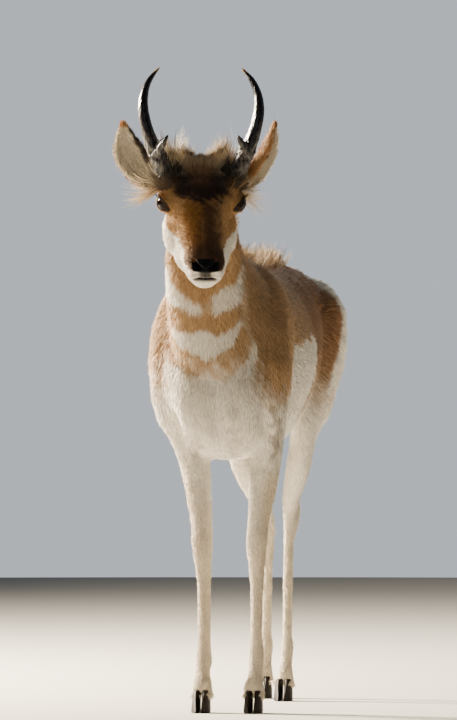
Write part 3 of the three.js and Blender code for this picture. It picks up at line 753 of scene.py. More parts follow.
def headColours(points):
    hx, hf, hu = inHead(points)
    ax = np.abs(hx)
    local = np.stack((hx, hf, hu), 1)
    ragged = 0.003 * wobble(points, 0.020, 21) + 0.0015 * wobble(points, 0.008, 22)
    colour = np.tile(coatColours["faceTan"], (len(points), 1))
    # golden on the flat of the nose, dark brown along the bridge and darker to the animal's left of it
    gold = ease(0.042, 0.030, ax + ragged) * ease(0.0, 0.05, hf)
    colour = over(colour, "faceGold", gold * ease(0.030, -0.004, hx))
    colour = over(colour, "maskBrown", 0.5 * gold * ease(0.0, 0.016, hx))
    broad = np.interp(hf, (0.04, 0.11, 0.15), (0.013, 0.019, 0.028))
    stripe = ease(1.35, 0.35, (np.abs(hx - 0.009) + 2.2 * ragged) / broad)
    colour = over(colour, "faceBrown", 0.74 * stripe * ease(0.03, 0.05, hf))
    streaks = wobble(points * np.array((1, 0.3, 0.3)), 0.006, 23)
    colour = over(colour, "faceBrown", 0.30 * ease(0.1, 1.0, streaks) * gold)
    # painted highlight: a narrow paler line of faceTan down the ridge of the nose
    colour = over(colour, "faceTan", 0.25 * hill(hx, -0.002, 0.004) * ease(0.06, 0.08, hf))
    muzzleShare = 0.85 * ease(0.110, 0.160, hf + ragged)
    colour = over(colour, "muzzle", muzzleShare)
    colour = over(colour, "faceBrown", muzzleShare * ease(-0.006, 0.008, hx + ragged))
    # the mask: brown in the middle, near black at the foot of each horn
    brow = ease(-0.02, 0.005, hu)
    mask = ease(0.012, -0.010, hf - edgeAt(headEdges["mask"], ax) + 3.0 * ragged) * brow
    colour = over(colour, "mask", mask)
    between = ease(0.030, 0.008, ax + 2 * ragged) * ease(0.012, -0.020, hf)
    colour = over(colour, "maskBrown", 0.75 * mask * between)
    hornFoot = hill(ax, 0.047, 0.019) * hill(hf, -0.016, 0.026)
    colour = over(colour, "maskBlack", np.clip(1.5 * hornFoot, 0, 0.97) * brow)
    # white cheeks, jaw, lips and chin
    colour = over(colour, "white", ease(0.003, -0.003, hu - edgeAt(headEdges["cheek"], hf) + ragged))
    for side in sides.values():
        # golden fur beside the eye, paler above it, and the dark edge of the lids
        temple = hill(hx, side * 0.066, 0.016) * hill(hf, -0.022, 0.022) * hill(hu, 0.012, 0.026)
        colour = over(colour, "faceGold", np.clip(1.1 * temple, 0, 0.8))
        spot = hill(hx, side * 0.064, 0.010) * hill(hf, -0.002, 0.014) * hill(hu, 0.022, 0.009)
        colour = over(colour, "faceTan", np.clip(0.9 * spot, 0, 0.7))
        _, distance, outward, u, v = slitView(local, side)
        colour = over(colour, "noseBlack", ease(1.28, 1.08, np.hypot(u, v)) * (outward > 0) * (distance < 0.03))
    # a grey patch on the upper lip, the lips' dark edge, the bare nose
    lip = ease(0.018, 0.009, ax + ragged) * ease(-0.016, -0.018, hu) * ease(-0.033, -0.031, hu)
    colour = over(colour, "lip", 0.9 * lip * ease(0.17, 0.18, hf))
    colour = over(colour, "noseBlack", ease(0.0036, 0.0016, mouthAway(local)) * ease(0.034, 0.012, ax))
    colour = over(colour, "noseBlack", nosePad(hx, hf, hu))
    # crown: grizzled brown that fades to pale hair beside the horns
    crown = ease(0.036, 0.052, hu - 0.2 * hf) * ease(-0.012, -0.036, hf)
    colour = over(colour, "crownTan", 0.75 * crown)
    return over(colour, "cream", 0.8 * crown * ease(0.022, 0.046, ax))


def nosePad(hx, hf, hu):
    beside = np.abs(hx) - edgeAt(headEdges["nosePad"], hu)
    return ease(0.1655, 0.1685, hf) * ease(0.0015, -0.0015, beside) * ease(-0.0195, -0.0170, hu)


def earColours(points, normals):
    lx, lf, lu = inHead(points, levelTurn)
    turned = normals @ levelTurn
    colour = np.tile(coatColours["earBack"], (len(points), 1))
    for name, side in sides.items():
        # the cup's lining is pale, and its edge is dark on the side towards the horn and at the tip
        opening = earOpening[name]
        facing = turned[:, 0] * opening[0] - turned[:, 1] * opening[1]
        axisX = np.interp(lu, earAxis[:, 2], earAxis[:, 0]) * side
        axisF = np.interp(lu, earAxis[:, 2], earAxis[:, 1])
        across = (lx - axisX) * opening[1] - (lf - axisF) * opening[0]
        half = edgeAt(earHalfWidth, lu)
        rim = ease(0.62, 0.86, -side * across / half + 0.1 * wobble(points, 0.02, 31)) * ease(0.02, 0.05, lu)
        lining = over(colour, "earCream", ease(-0.10, 0.15, facing))
        lining = over(lining, "earRim" if name == "right" else "earBack", 0.95 * rim)
        colour = np.where((lx * side > 0)[:, None], lining, colour)
    return over(colour, "earBack", 0.9 * ease(0.132, 0.141, lu))


def regionShares(points):
    # how far each point belongs to the head and to an ear
    _, y, z = (points - origin).T
    _, hf, hu = inHead(points)
    lx, lf, lu = inHead(points, levelTurn)
    head = ease(-0.105, -0.085, hf + 0.10 * (hu + 0.09)) * (y < -0.2) * (z > 0.78)
    jaw = ease(-0.108, -0.100, hu)
    ear = ease(0.066, 0.078, np.abs(lx)) * ease(0.010, 0.026, lu) * (lf < -0.02) * (lf > -0.12)
    return head * jaw, ear


def coatColour(points, normals):
    head, ear = regionShares(points)
    return mixed(mixed(bodyColours(points), headColours(points), head), earColours(points, normals), ear)


def setColours(thing, colours):
    layer = thing.data.color_attributes.new("coatColour", "FLOAT_COLOR", "POINT")
    rgba = np.ones((len(colours), 4), np.float32)
    rgba[:, :3] = colours
    layer.data.foreach_set("color", rgba.ravel())


def setValues(thing, name, values):
    layer = thing.data.attributes.new(name, "FLOAT", "POINT")
    layer.data.foreach_set("value", values.astype(np.float32))


points, faces = skinArrays()
hideShade = 0.9  # the hide is a little darker than its hair
setColours(skin, coatColour(points, normalsOf(points, faces)) * hideShade)
setValues(skin, "wet", nosePad(*inHead(points)))
print("skin coloured")


# Unwrap of the skin's own shape, shared with the tufts
def unwrapSkin():
    bpy.context.view_layer.objects.active = skin
    skin.select_set(True)
    skin.data.uv_layers.new(name="OFBake")
    bpy.ops.object.mode_set(mode="EDIT")
    bpy.ops.mesh.select_all(action="SELECT")
    bpy.ops.uv.smart_project(angle_limit=math.radians(66), island_margin=0.002)
    bpy.ops.object.mode_set(mode="OBJECT")
    skin.select_set(False)


unwrapSkin()
print("skin unwrapped")


# Materials: each adds nodes with one small helper
def addNode(tree, kind, settings=None, links=None):
    node = tree.nodes.new(kind)
    for key, value in (settings or {}).items():
        if isinstance(key, int) or key in node.inputs:
            node.inputs[key].default_value = value
        else:
            setattr(node, key, value)
    for key, source in (links or {}).items():
        tree.links.new(source, node.inputs[key])
    return node


def newMaterial(name, values, painted=True):
    # painted materials take their colour from the mesh
    material = bpy.data.materials.new(name)
    material.use_nodes = True
    tree = material.node_tree
    shader = tree.nodes["Principled BSDF"]
    for key, value in values.items():
        shader.inputs[key].default_value = value
    if painted:
        colour = addNode(tree, "ShaderNodeAttribute", {"attribute_name": "coatColour"})
        tree.links.new(colour.outputs["Color"], shader.inputs["Base Color"])
    return material, tree, shader


def hideUnderHair():
    # hide with short flat hair: dull, with clumps as bump, the nose pad wet
    material, tree, shader = newMaterial("hideUnderHair", {"Specular IOR Level": 0.3})
    wetness = addNode(tree, "ShaderNodeAttribute", {"attribute_name": "wet"})
    place = addNode(tree, "ShaderNodeTexCoord")
    # hairs are 0.1 mm wide; clumps of 1.6 mm are as fine as the picture shows
    clumps = addNode(tree, "ShaderNodeTexNoise", {"Scale": 620.0, "Detail": 3.0, "Roughness": 0.6},
                     {"Vector": place.outputs["Object"]})
    bump = addNode(tree, "ShaderNodeBump", {"Strength": 0.35, "Distance": 0.0006},
                   {"Height": clumps.outputs["Fac"]})
    rough = addNode(tree, "ShaderNodeMapRange", {"To Min": 0.82, "To Max": 0.33},
                    {"Value": wetness.outputs["Fac"]})
    tree.links.new(bump.outputs["Normal"], shader.inputs["Normal"])
    tree.links.new(rough.outputs["Result"], shader.inputs["Roughness"])
    return material


hideMaterial = hideUnderHair()
# hollow guard hair: matt with a faint sheen along the light
hairMaterial = newMaterial("guardHair", {
    "Roughness": 0.72, "Specular IOR Level": 0.25, "Sheen Weight": 0.12, "Sheen Roughness": 0.5, "IOR": 1.55,
})[0]
skin.data.materials.clear()
skin.data.materials.append(hideMaterial)


# The lie of the coat
def hairFlow(points, normals):
    _, y, z = (points - origin).T
    hx, hf, hu = inHead(points)
    head, ear = regionShares(points)
    one = np.ones(len(points))

    def towards(flow, way, share):
        return mixed(flow, np.stack([part * one for part in way], 1), share)

    flow = np.stack((0 * one, 0.85 * one, -0.45 * one), 1)
    flow = towards(flow, (0, 0.35, -0.95), ease(0.02, -0.10, y + 0.4 * (z - 0.75)))  # neck
    flow = towards(flow, (0, 0.35, -0.95), ease(0.52, 0.64, y))  # rump
    flow = towards(flow, (0, 0.12, -1), ease(0.60, 0.48, z))  # legs
    # on the face the hair runs from the nose back and outwards over the cheeks
    outward = np.sign(hx) * ease(0.0, 0.03, np.abs(hx))
    local = np.stack((0.35 * outward, one, -0.35 * ease(0.02, -0.03, hu)), 1)
    local[:, 2] += 1.1 * ease(-0.03, -0.06, hf) * ease(0.0, 0.03, hu)
    flow = mixed(flow, local @ headTurn.T, head)
    side = np.sign((points - headOrigin) @ levelTurn[:, 0])
    earwards = np.stack((0.45 * side, 0 * one, 0.9 * one), 1) @ levelTurn.T
    flow = mixed(flow, earwards, ear)
    flow = flow + 0.16 * np.stack([wobble(points, 0.05, 40 + k) for k in range(3)], 1)
    flow -= normals * (flow * normals).sum(1)[:, None]
    return unitRows(flow)


def coatLength(points):
    # length of a tuft, its width and how far it lifts off the skin, metres and radians
    _, y, z = (points - origin).T
    _, hf, hu = inHead(points)
    head, ear = regionShares(points)
    length = 0.0165 + 0.009 * ease(0.46, 0.56, y) * ease(0.6, 0.7, z)
    length -= 0.003 * ease(0.05, -0.05, y)
    length += (0.0095 - length) * ease(0.56, 0.44, z)
    length += (0.0065 - length) * ease(0.2, 0.1, z)
    length += 0.006 * ease(0.075, 0.055, z)
    faceLength = 0.0058 + 0.0045 * ease(-0.02, -0.07, hf)
    faceLength += 0.006 * ease(-0.045, -0.075, hu) * ease(0.12, 0.06, hf)
    faceLength -= 0.0026 * ease(0.10, 0.15, hf)
    faceLength += 0.010 * ease(0.03, 0.05, hu) * ease(-0.01, -0.03, hf)
    length += (faceLength - length) * head
    length += (0.0085 - length) * ear
    width = 0.0007 + 0.055 * length
    lift = 14 + 4 * ease(0.0, -0.08, y) * ease(0.5, 0.6, z) + 8 * head * ease(-0.02, -0.06, hf)
    return length, width, np.radians(lift)


def sampleSkin(count, weights, seed):
    # random places on the skin, with the normal and the place in the unwrap of each
    draw = np.random.default_rng(seed)
    points, faces = skinArrays()
    a, b, c = (points[faces[:, k]] for k in range(3))
    area = 0.5 * np.linalg.norm(np.cross(b - a, c - a), axis=1)
    share = area * weights((a + b + c) / 3)
    chosen = draw.choice(len(faces), count, p=share / share.sum())
    r1, r2 = np.sqrt(draw.random(count)), draw.random(count)
    corners = np.stack((1 - r1, r1 * (1 - r2), r1 * r2), 1)[:, :, None]

    def mix(values, index):
        return (values[index[chosen]] * corners).sum(1)

    uv = np.zeros(len(skin.data.loops) * 2)
    skin.data.uv_layers["OFBake"].data.foreach_get("uv", uv)
    uv = mix(uv.reshape(-1, 2), trianglesOf(skin, "loops"))
    normal = mix(normalsOf(points, faces), faces)
    normal /= np.linalg.norm(normal, axis=1, keepdims=True)
    return mix(points, faces), normal, uv, draw


tuft = {
    "strayTurn": 0.13,  # spread of the direction, radians
    "roll": 0.35,
    "sizeSpread": (0.7, 1.3),
    "liftSpread": (0.6, 1.5),
    "rootDepth": 0.0008,
    "shade": (0.66, 0.66, 0.95, 0.95, 1.12),  # dark at the root, light at the tip
    "patch": 0.0015,  # size in the unwrap
}


def tuftMesh(name, place, normal, uv, draw, shape, colours):
    # a tuft is a flat blade of three facets that tapers to one point and bends down to the skin
    length, width, lift = shape
    count = len(place)
    flow = hairFlow(place, normal)
    side = np.cross(normal, flow)
    stray = draw.normal(0, tuft["strayTurn"], count)[:, None]
    flow = flow * np.cos(stray) + side * np.sin(stray)
    side = np.cross(normal, flow)
    roll = draw.normal(0, tuft["roll"], count)[:, None]
    side = side * np.cos(roll) + normal * np.sin(roll)
    length = (length * draw.uniform(*tuft["sizeSpread"], count))[:, None]
    width = (width * draw.uniform(*tuft["sizeSpread"], count))[:, None]
    rise = np.tan((lift * draw.uniform(*tuft["liftSpread"], count))[:, None]) * length
    root = place - normal * tuft["rootDepth"]
    middle = root + flow * length * 0.5 + normal * (rise * 0.62 + tuft["rootDepth"])
    tip = root + flow * length + normal * (rise * 0.85 + tuft["rootDepth"])
    broad, slim = side * width / 2, side * width * 0.42
    points = np.stack((root - broad, root + broad, middle - slim, middle + slim, tip), 1).reshape(-1, 3)
    base = np.arange(count)[:, None] * 5
    faces = (base + np.array((0, 1, 3, 0, 3, 2, 2, 3, 4))).reshape(-1, 3)
    made = meshFrom(name, points, faces)
    shade = draw.normal(1, 0.07, count) * (1 + 0.10 * wobble(place, 0.010, 61) + 0.05 * wobble(place, 0.028, 62))
    ramp = shade[:, None, None] * np.array(tuft["shade"])[None, :, None]
    colours = colours if colours.ndim == 3 else colours[:, None, :]
    setColours(made, np.clip(colours * ramp, 0, 1).reshape(-1, 3))
    # each tuft is a small patch of the skin's own unwrap
    across = unitRows(flow[:, :2], 1e-6)
    patch = np.stack((-across, across[:, ::-1] * (1, -1), np.zeros_like(across), across, across * 0.5), 1)
    cornerUv = (uv[:, None, :] + tuft["patch"] * patch).reshape(-1, 2)[faces.ravel()]
    layer = made.data.uv_layers.new(name="OFBake")
    layer.data.foreach_set("uv", np.clip(cornerUv, 0, 1).astype(np.float32).ravel())
    made.data.materials.append(hairMaterial)
    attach(made, "root")
    return made


def shareOfHead(points):
    head, ear = regionShares(points)
    return np.maximum(head, ear)


def bare(points):
    # no hair on the nose, the lips' edge and the open eye
    local = np.stack(inHead(points), 1)
    clear = nosePad(*local.T)
    lips = ease(0.0060, 0.0040, mouthAway(local)) * ease(0.030, 0.020, np.abs(local[:, 0]))
    clear = np.maximum(clear, lips)
    for side in sides.values():
        _, distance, outward, u, v = slitView(local, side)
        clear = np.maximum(clear, (outward > 0) * (distance < 0.03) * (u**2 + v**2 < 1.2))
    return np.clip(clear, 0, 1)


def tuftColours(place, normal, length):
    # a tuft shows the colour of the place that its outer part covers
    return coatColour(place + hairFlow(place, normal) * (0.7 * length)[:, None], normal)


# Each coat: tufts, share of each place, seed. Y parts neck from flank, Z the body from the lower legs.
coat = {
    "headCoat": (66000, lambda p, x, y, z: shareOfHead(p) * (1 - bare(p)), 101),
    "neckCoat": (60000, lambda p, x, y, z: (1 - shareOfHead(p)) * (y < -0.03) * (z > 0.56), 102),
    "flankCoat_left": (62000, lambda p, x, y, z: (y >= -0.03) * (z > 0.56) * (x >= 0), 103),
    "flankCoat_right": (62000, lambda p, x, y, z: (y >= -0.03) * (z > 0.56) * (x < 0), 104),
    "lowerCoat": (60000, lambda p, x, y, z: (z <= 0.56) * (z > 0.30), 105),
    "shankCoat": (50000, lambda p, x, y, z: (z <= 0.30) * (z > 0.030) * (1 + 2.0 * (z < 0.07)), 106),
}
thinning = 1
for name, (count, weights, seed) in coat.items():
    place, normal, uv, draw = sampleSkin(count // thinning, lambda p: weights(p, *(p - origin).T), seed)
    shape = coatLength(place)
    made = tuftMesh(name, place, normal, uv, draw, shape, tuftColours(place, normal, shape[0]))
print("coat grown")

# Bristling hair of the crown, nape, withers and back
bristles = {"count": 36000, "seed": 201, "lift": (40.0, 44.0)}
napeLine = [(-0.262, -0.010), (-0.195, -0.018), (-0.095, -0.022), (0.0, -0.012), (0.07, -0.008)]


def crownShare(points):
    lx, lf, lu = inHead(points, levelTurn)
    return ease(0.046, 0.056, lu) * ease(0.012, -0.006, lf) * ease(0.085, 0.07, np.abs(lx))


def hornFootShare(points):
    # the fur that stands round the foot of each horn
    lx, lf, lu = inHead(points, levelTurn)
    away = np.hypot(np.abs(lx) - 0.064, lf + 0.012)
    return ease(0.036, 0.028, away) * ease(0.012, 0.022, lu) * (lu < 0.075)


def bristleWeights(points):
    x, y, z = (points - origin).T
    ridge = hill(x, edgeAt(napeLine, y), 0.016)
    nape = ridge * (y > -0.27) * (y < 0.05) * (z > 0.84)
    back = ridge * (y >= 0.05) * (y < 0.50) * (z > 0.82)
    apart = np.abs(inHead(points, levelTurn)[0])
    feet = hornFootShare(points) * ease(0.092, 0.080, apart)
    return 0.45 * nape + 0.9 * back + 2.4 * crownShare(points) + 1.5 * feet


def growBristles():
    place, normal, uv, draw = sampleSkin(bristles["count"] // thinning, bristleWeights, bristles["seed"])
    y = (place - origin)[:, 1]
    lx, lf, lu = inHead(place, levelTurn)
    foot = hornFootShare(place) > 0.1
    crown = (crownShare(place) > 0.1) | foot
    front = foot & (lf > -0.02)
    outer = ease(0.010, 0.046, np.abs(lx)) * ease(0.086, 0.070, np.abs(lx))
    long = outer * np.maximum(ease(0.004, -0.018, lf), ease(0.046, 0.056, lu))
    length = np.where(crown, 0.012 + 0.034 * long, 0.017 + 0.004 * ease(0.1, 0.3, y))
    length = np.where(front, 0.014, length)
    length = length * np.where(crown, 1, draw.uniform(0.6, 1.25, len(place)))
    lift = np.radians(np.where(crown, *bristles["lift"]))
    root = tuftColours(place, normal, np.where(crown, 0, 0.3) * length)
    root = over(root, "maskBlack", 0.85 * foot * ease(-0.03, -0.01, lf))
    pale = np.where(crown, 0.45 + 0.55 * long, 0.85 * (y > -0.10)) * np.where(front, 0.15, 1.0)
    middle, tip = over(root, "cream", 0.45 * pale), over(root, "cream", np.clip(1.15 * pale, 0, 1))
    colours = np.stack((root, root, middle, middle, tip), 1)
    made = tuftMesh("bristles", place, normal, uv, draw, (length, 0.0007 + 0.014 * length, lift), colours)


growBristles()
print("bristles grown")

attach(skin, "root")
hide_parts(*flesh, "ear_left", "ear_right")


# Eyes: a dark wet ball with a barely lighter iris and a long level pupil, sizes as shares of the radius
eyeLooks = {
    "iris": "#2b150a",
    "pupil": "#050304",
    "white": "#24130c",
    "irisHalf": 0.70,
    "pupilHalf": (0.46, 0.22),
    "cornea": 0.05,
    "rings": 40,
    "around": 56,
}
wetEye = newMaterial("wetEye", {"Roughness": 0.05, "IOR": 1.336, "Specular IOR Level": 0.18})[0]


def ballMesh(rings, around):
    points = [(0, 0, 1)]
    for i in range(1, rings):
        a = math.pi * i / rings
        points += [(math.sin(a) * math.cos(t), math.sin(a) * math.sin(t), math.cos(a))
                   for t in (2 * math.pi * k / around for k in range(around))]
    points.append((0, 0, -1))
    faces = []
    for k in range(around):
        m = (k + 1) % around
        faces.append((0, 1 + k, 1 + m))
        for i in range(rings - 2):
            a, b = 1 + i * around + k, 1 + i * around + m
            faces += [(a, a + around, b + around), (a, b + around, b)]
        last = 1 + (rings - 2) * around
        faces.append((last + k, len(points) - 1, last + m))
    return np.array(points, float), np.array(faces)


def makeEye(name, side):
    axes = eyeAxes(side)
    points, faces = ballMesh(eyeLooks["rings"], eyeLooks["around"])
    u, v, ahead = points.T
    unit = points[:, 2:] * axes[0] + points[:, :1] * axes[1] + points[:, 1:2] * axes[2]
    if np.linalg.det(np.roll(axes, -1, 0)) > 0:
        faces = faces[:, ::-1]
    swell = 1 + eyeLooks["cornea"] * ease(0.75, 0.35, np.arccos(np.clip(ahead, -1, 1)))
    local = eyeMiddle(side) + unit * (animal["eyeRadius"] * swell)[:, None]
    made = meshFrom(f"eyeball_{name}", fromHead(local), faces)
    half, (long, high) = eyeLooks["irisHalf"], eyeLooks["pupilHalf"]
    iris = (ahead > 0) * ease(half + 0.04, half - 0.04, np.hypot(u, v))
    pupil = (ahead > 0) * ease(1.2, 0.9, (u / long) ** 2 + (v / high) ** 2)
    colour = np.tile(hexToLinear(eyeLooks["white"]), (len(points), 1))
    colour = mixed(colour, hexToLinear(eyeLooks["iris"]), iris)
    setColours(made, mixed(colour, hexToLinear(eyeLooks["pupil"]), pupil))
    made.data.materials.append(wetEye)
    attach(made, "root")
    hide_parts(f"eye_{name}")


# bare black skin of the lids' edge, moist
lidEdge = newMaterial("moistLidEdge", {"Base Color": (*hexToLinear("#120c0a"), 1), "Roughness": 0.42}, False)[0]
lidRim = {"steps": 64, "around": 8, "thickness": 0.0011, "above": 0.0010}
lashes = {
    "count": 110,
    "length": 0.015,
    "seed": 301,
    "rings": ((0, 0.00045), (0.55, 0.00038), (1, 0.00005)),  # share of the length, half width
}


def tubeAlong(path, radius, around):
    # a closed tube round a ring of points
    tangent = unitRows(np.roll(path, -1, 0) - np.roll(path, 1, 0))
    guide = path - path.mean(0)
    normal = unitRows(guide - tangent * (guide * tangent).sum(1)[:, None])
    other = np.cross(tangent, normal)
    turns = 2 * math.pi * np.arange(around)[None, :, None] / around
    ring = np.cos(turns) * normal[:, None] + np.sin(turns) * other[:, None]
    points = (path[:, None] + radius * ring).reshape(-1, 3)
    i, k = (grid.ravel() for grid in np.mgrid[: len(path), :around])
    here, ahead = i * around, (i + 1) % len(path) * around
    beside = (k + 1) % around
    return points, np.stack((here + k, here + beside, ahead + beside, ahead + k), 1)


def lidPoint(side, angle):
    # a point on the eye's pointed slit, and how far along and up the slit it is
    gaze, slit, lid = eyeAxes(side)
    half, radius = face["slitHalf"], animal["eyeRadius"]
    u, v = math.copysign(abs(math.cos(angle)) ** 1.25, math.cos(angle)), math.sin(angle)
    flat = slit * u * half[0] + lid * v * half[1]
    unit = (flat + gaze * math.sqrt(max(radius**2 - flat @ flat, 1e-8))) / radius
    return eyeMiddle(side) + unit * (radius + lidRim["above"]), u, v


def makeLidRim(name, side):
    turns = 2 * math.pi * np.arange(lidRim["steps"]) / lidRim["steps"]
    path = np.array([lidPoint(side, angle)[0] for angle in turns])
    points, faces = tubeAlong(path, lidRim["thickness"], lidRim["around"])
    made = meshFrom(f"lidEdge_{name}", fromHead(points), faces)
    reworked(made, lambda work: bmesh.ops.recalc_face_normals(work, faces=work.faces))
    made.data.materials.append(lidEdge)
    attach(made, "root")


def makeLashes(name, side):
    # three-sided lashes stand out over the upper lid
    draw = np.random.default_rng(lashes["seed"] + int(side))
    gaze, slit, lid = eyeAxes(side)
    points, faces = [], []
    for _ in range(lashes["count"]):
        root, u, v = lidPoint(side, math.radians(draw.uniform(8, 172)))
        lean = gaze * 0.9 + lid * (0.45 + 0.2 * draw.random()) + slit * (0.35 * u + draw.normal(0, 0.08))
        lean /= np.linalg.norm(lean)
        length = lashes["length"] * draw.uniform(0.7, 1.15) * (0.55 + 0.45 * v)
        wide = np.cross(lean, lid)
        wide /= np.linalg.norm(wide)
        first = len(points)
        for share, thick in lashes["rings"]:
            middle = root + lean * length * share + lid * 0.25 * length * share**2
            points += [middle - wide * thick, middle + wide * thick, middle + lid * thick * 1.4]
        for level in (first, first + 3):
            for a, b in ((0, 1), (1, 2), (2, 0)):
                faces += [(level + a, level + b, level + 3 + b), (level + a, level + 3 + b, level + 3 + a)]
    made = meshFrom(f"lashes_{name}", fromHead(np.array(points)), np.array(faces))
    made.data.materials.append(lidEdge)
    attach(made, "root")


for name, side in sides.items():
    makeEye(name, side)
    makeLidRim(name, side)
    makeLashes(name, side)
print("eyes set")


# Horns: sheaths of dark horn, coarse and barky below the prong, polished above it, amber at the tip
hornLooks = {"dark": "#131011", "grey": "#8a8378", "tip": "#b5863f"}


def hornMaterial():
    material, tree, shader = newMaterial("hornSheath", {"IOR": 1.55})
    rough = addNode(tree, "ShaderNodeAttribute", {"attribute_name": "bark"})
    place = addNode(tree, "ShaderNodeTexCoord")
    stretch = addNode(tree, "ShaderNodeMapping", {"Scale": (1, 1, 0.16)}, {"Vector": place.outputs["Object"]})
    # growth ridges run along the horn, about 2 mm apart
    ridges = addNode(tree, "ShaderNodeTexNoise", {"Scale": 420.0, "Detail": 4.0},
                     {"Vector": stretch.outputs["Vector"]})
    height = addNode(tree, "ShaderNodeMath", {"operation": "MULTIPLY"},
                     {0: ridges.outputs["Fac"], 1: rough.outputs["Fac"]})
    bump = addNode(tree, "ShaderNodeBump", {"Strength": 0.6, "Distance": 0.0012},
                   {"Height": height.outputs["Value"]})
    gloss = addNode(tree, "ShaderNodeMapRange", {"To Min": 0.22, "To Max": 0.55}, {"Value": rough.outputs["Fac"]})
    tree.links.new(bump.outputs["Normal"], shader.inputs["Normal"])
    tree.links.new(gloss.outputs["Result"], shader.inputs["Roughness"])
    return material


hornSheath = hornMaterial()


def makeHornPiece(name):
    made = copyOfNode(f"horn_{name}", f"hornSheath_{name}", 3)
    faces = trianglesOf(made)
    points = smoothed(pointsOf(made), faces, 4)
    normals = normalsOf(points, faces)
    _, _, lu = inHead(points, levelTurn)
    low = ease(0.128, 0.080, lu)
    turned = normals @ levelTurn
    # bark runs up the back of the shaft and along the side facing the animal's right, which is the outer edge of
    # the right horn and the inner edge of the left, and the front above the prong is polished; the grey put along
    # that side is painted highlight
    edge = ease(0.15, 0.75, -0.5 * turned[:, 0] + 0.25 * turned[:, 1]) * ease(0.215, 0.17, lu)
    bark = np.clip(low + edge, 0, 1)
    knobs = 0.0014 * wobble(points, 0.016, 51) + 0.0011 * wobble(points, 0.006, 52)
    ridges = 0.0007 * wobble(points * np.array((1, 1, 0.2)), 0.006, 53)
    fine = 0.00025 * wobble(points * np.array((1, 1, 0.3)), 0.006, 54)
    # the sheath ends in a ragged lip above the foot of the horn
    aboveLip = lu - (0.078 + 0.006 * wobble(points, 0.020, 56))
    lip = 0.0016 * ease(-0.002, 0.002, aboveLip) * ease(0.03, 0.0, aboveLip)
    points = points + normals * (low * knobs + bark * ridges + fine + lip)[:, None]
    setPoints(made, points)
    speckle = wobble(points * np.array((1, 1, 0.45)), 0.009, 55) + 0.6 * wobble(points, 0.004, 57)
    # the grey is the horn's own pale bark on the base, and painted highlight along the side facing the key light
    grey = np.clip(0.42 * low + edge, 0, 1) * ease(-0.4, 1.0, speckle)
    # painted shadow: the grey is darkened in a band just under the ragged lip
    grey = grey * (1 - 0.75 * hill(aboveLip, -0.004, 0.004))
    colour = np.tile(hexToLinear(hornLooks["dark"]), (len(points), 1))
    colour = mixed(colour, hexToLinear(hornLooks["grey"]), grey)
    setColours(made, mixed(colour, hexToLinear(hornLooks["tip"]), ease(0.236, 0.251, lu)))
    setValues(made, "bark", bark)
    made.data.materials.clear()
    made.data.materials.append(hornSheath)
    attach(made, "root")
    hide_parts(f"horn_{name}")


for name in sides:
    makeHornPiece(name)
print("horns made")


# Hooves: the solids' claws, rounded, in worn black horn
hoofLooks = {
    "colour": "#241d18",
    "bevel": 0.0022,
    "topNarrow": 0.16,
    "toeNarrow": 0.45,
    "toeDrop": 0.22,
    "closing": 0.32,  # share of the gap that each claw moves to its partner
}


def hoofMaterial():
    values = {"Base Color": (*hexToLinear(hoofLooks["colour"]), 1), "Roughness": 0.55, "Specular IOR Level": 0.3}
    material, tree, shader = newMaterial("hoofHorn", values, False)
    place = addNode(tree, "ShaderNodeTexCoord")
    # growth rings, faint
    rings = addNode(tree, "ShaderNodeTexWave", {"Scale": 90.0, "Distortion": 1.5, "bands_direction": "Z"},
                    {"Vector": place.outputs["Object"]})
    bump = addNode(tree, "ShaderNodeBump", {"Strength": 0.25, "Distance": 0.0006},
                   {"Height": rings.outputs["Fac"]})
    tree.links.new(bump.outputs["Normal"], shader.inputs["Normal"])
    return material


def shapeHoof(thing, inner, gap):
    # each claw leans to its partner, narrows to the coronet and ends in a pointed toe
    points = pointsOf(thing)
    low, high = points.min(0), points.max(0)
    edge = low[0] if inner < 0 else high[0]
    height = (points[:, 2] - low[2]) / (high[2] - low[2])
    ahead = (high[1] - points[:, 1]) / (high[1] - low[1])
    narrow = 1 - hoofLooks["topNarrow"] * height**2 - hoofLooks["toeNarrow"] * ease(0.55, 1.0, ahead) ** 1.5
    points[:, 0] = edge + (points[:, 0] - edge) * narrow + inner * gap * hoofLooks["closing"]
    points[:, 2] = low[2] + (points[:, 2] - low[2]) * (1 - hoofLooks["toeDrop"] * ease(0.5, 1.0, ahead) * height)
    setPoints(thing, points)
    smoothShaded(thing)


hoofHorn = hoofMaterial()
for node in [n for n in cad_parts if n.startswith("claw")]:
    made = copyOfNode(node, node.replace("claw", "hoofHorn"), 0)
    edge = made.modifiers.new("worn edge", "BEVEL")
    edge.width, edge.segments, edge.angle_limit = hoofLooks["bevel"], 2, math.radians(40)
    applied(made)
    rounding = made.modifiers.new("rounding", "SUBSURF")
    rounding.levels = rounding.render_levels = 2
    applied(made)
    inner = -1 if node.endswith("_left") else 1
    partner = node[: node.rindex("_") + 1] + ("right" if inner < 0 else "left")
    gap = abs(boxMiddle(partner)[0] - boxMiddle(node)[0]) - (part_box(node)[1][0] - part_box(node)[0][0])
    shapeHoof(made, inner, max(gap, 0.0))
    made.data.materials.clear()
    made.data.materials.append(hoofHorn)
    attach(made, "root")
    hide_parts(node)
print("hooves made")


# Studio: pale floor and backdrop, a warm key from behind the viewer's left, weak cool fill
studio = {
    "azimuth": math.radians(10),
    "distance": 20.0,
    "height": 0.91,
    "pictureSize": 720,
    "focalPixels": 10400.0,
    "shift": (1.5, 121),  # pixels that the view is turned left and down
    "floor": "#d0cdc5",
    "floorRadius": 8.0,
    "floorDrop": 0.0005,
    "air": (0.84, 0.90, 0.98, 1),
    "airLevels": (0.05, 0.26),  # before and behind the animal
    "backdrop": 0.66,
}
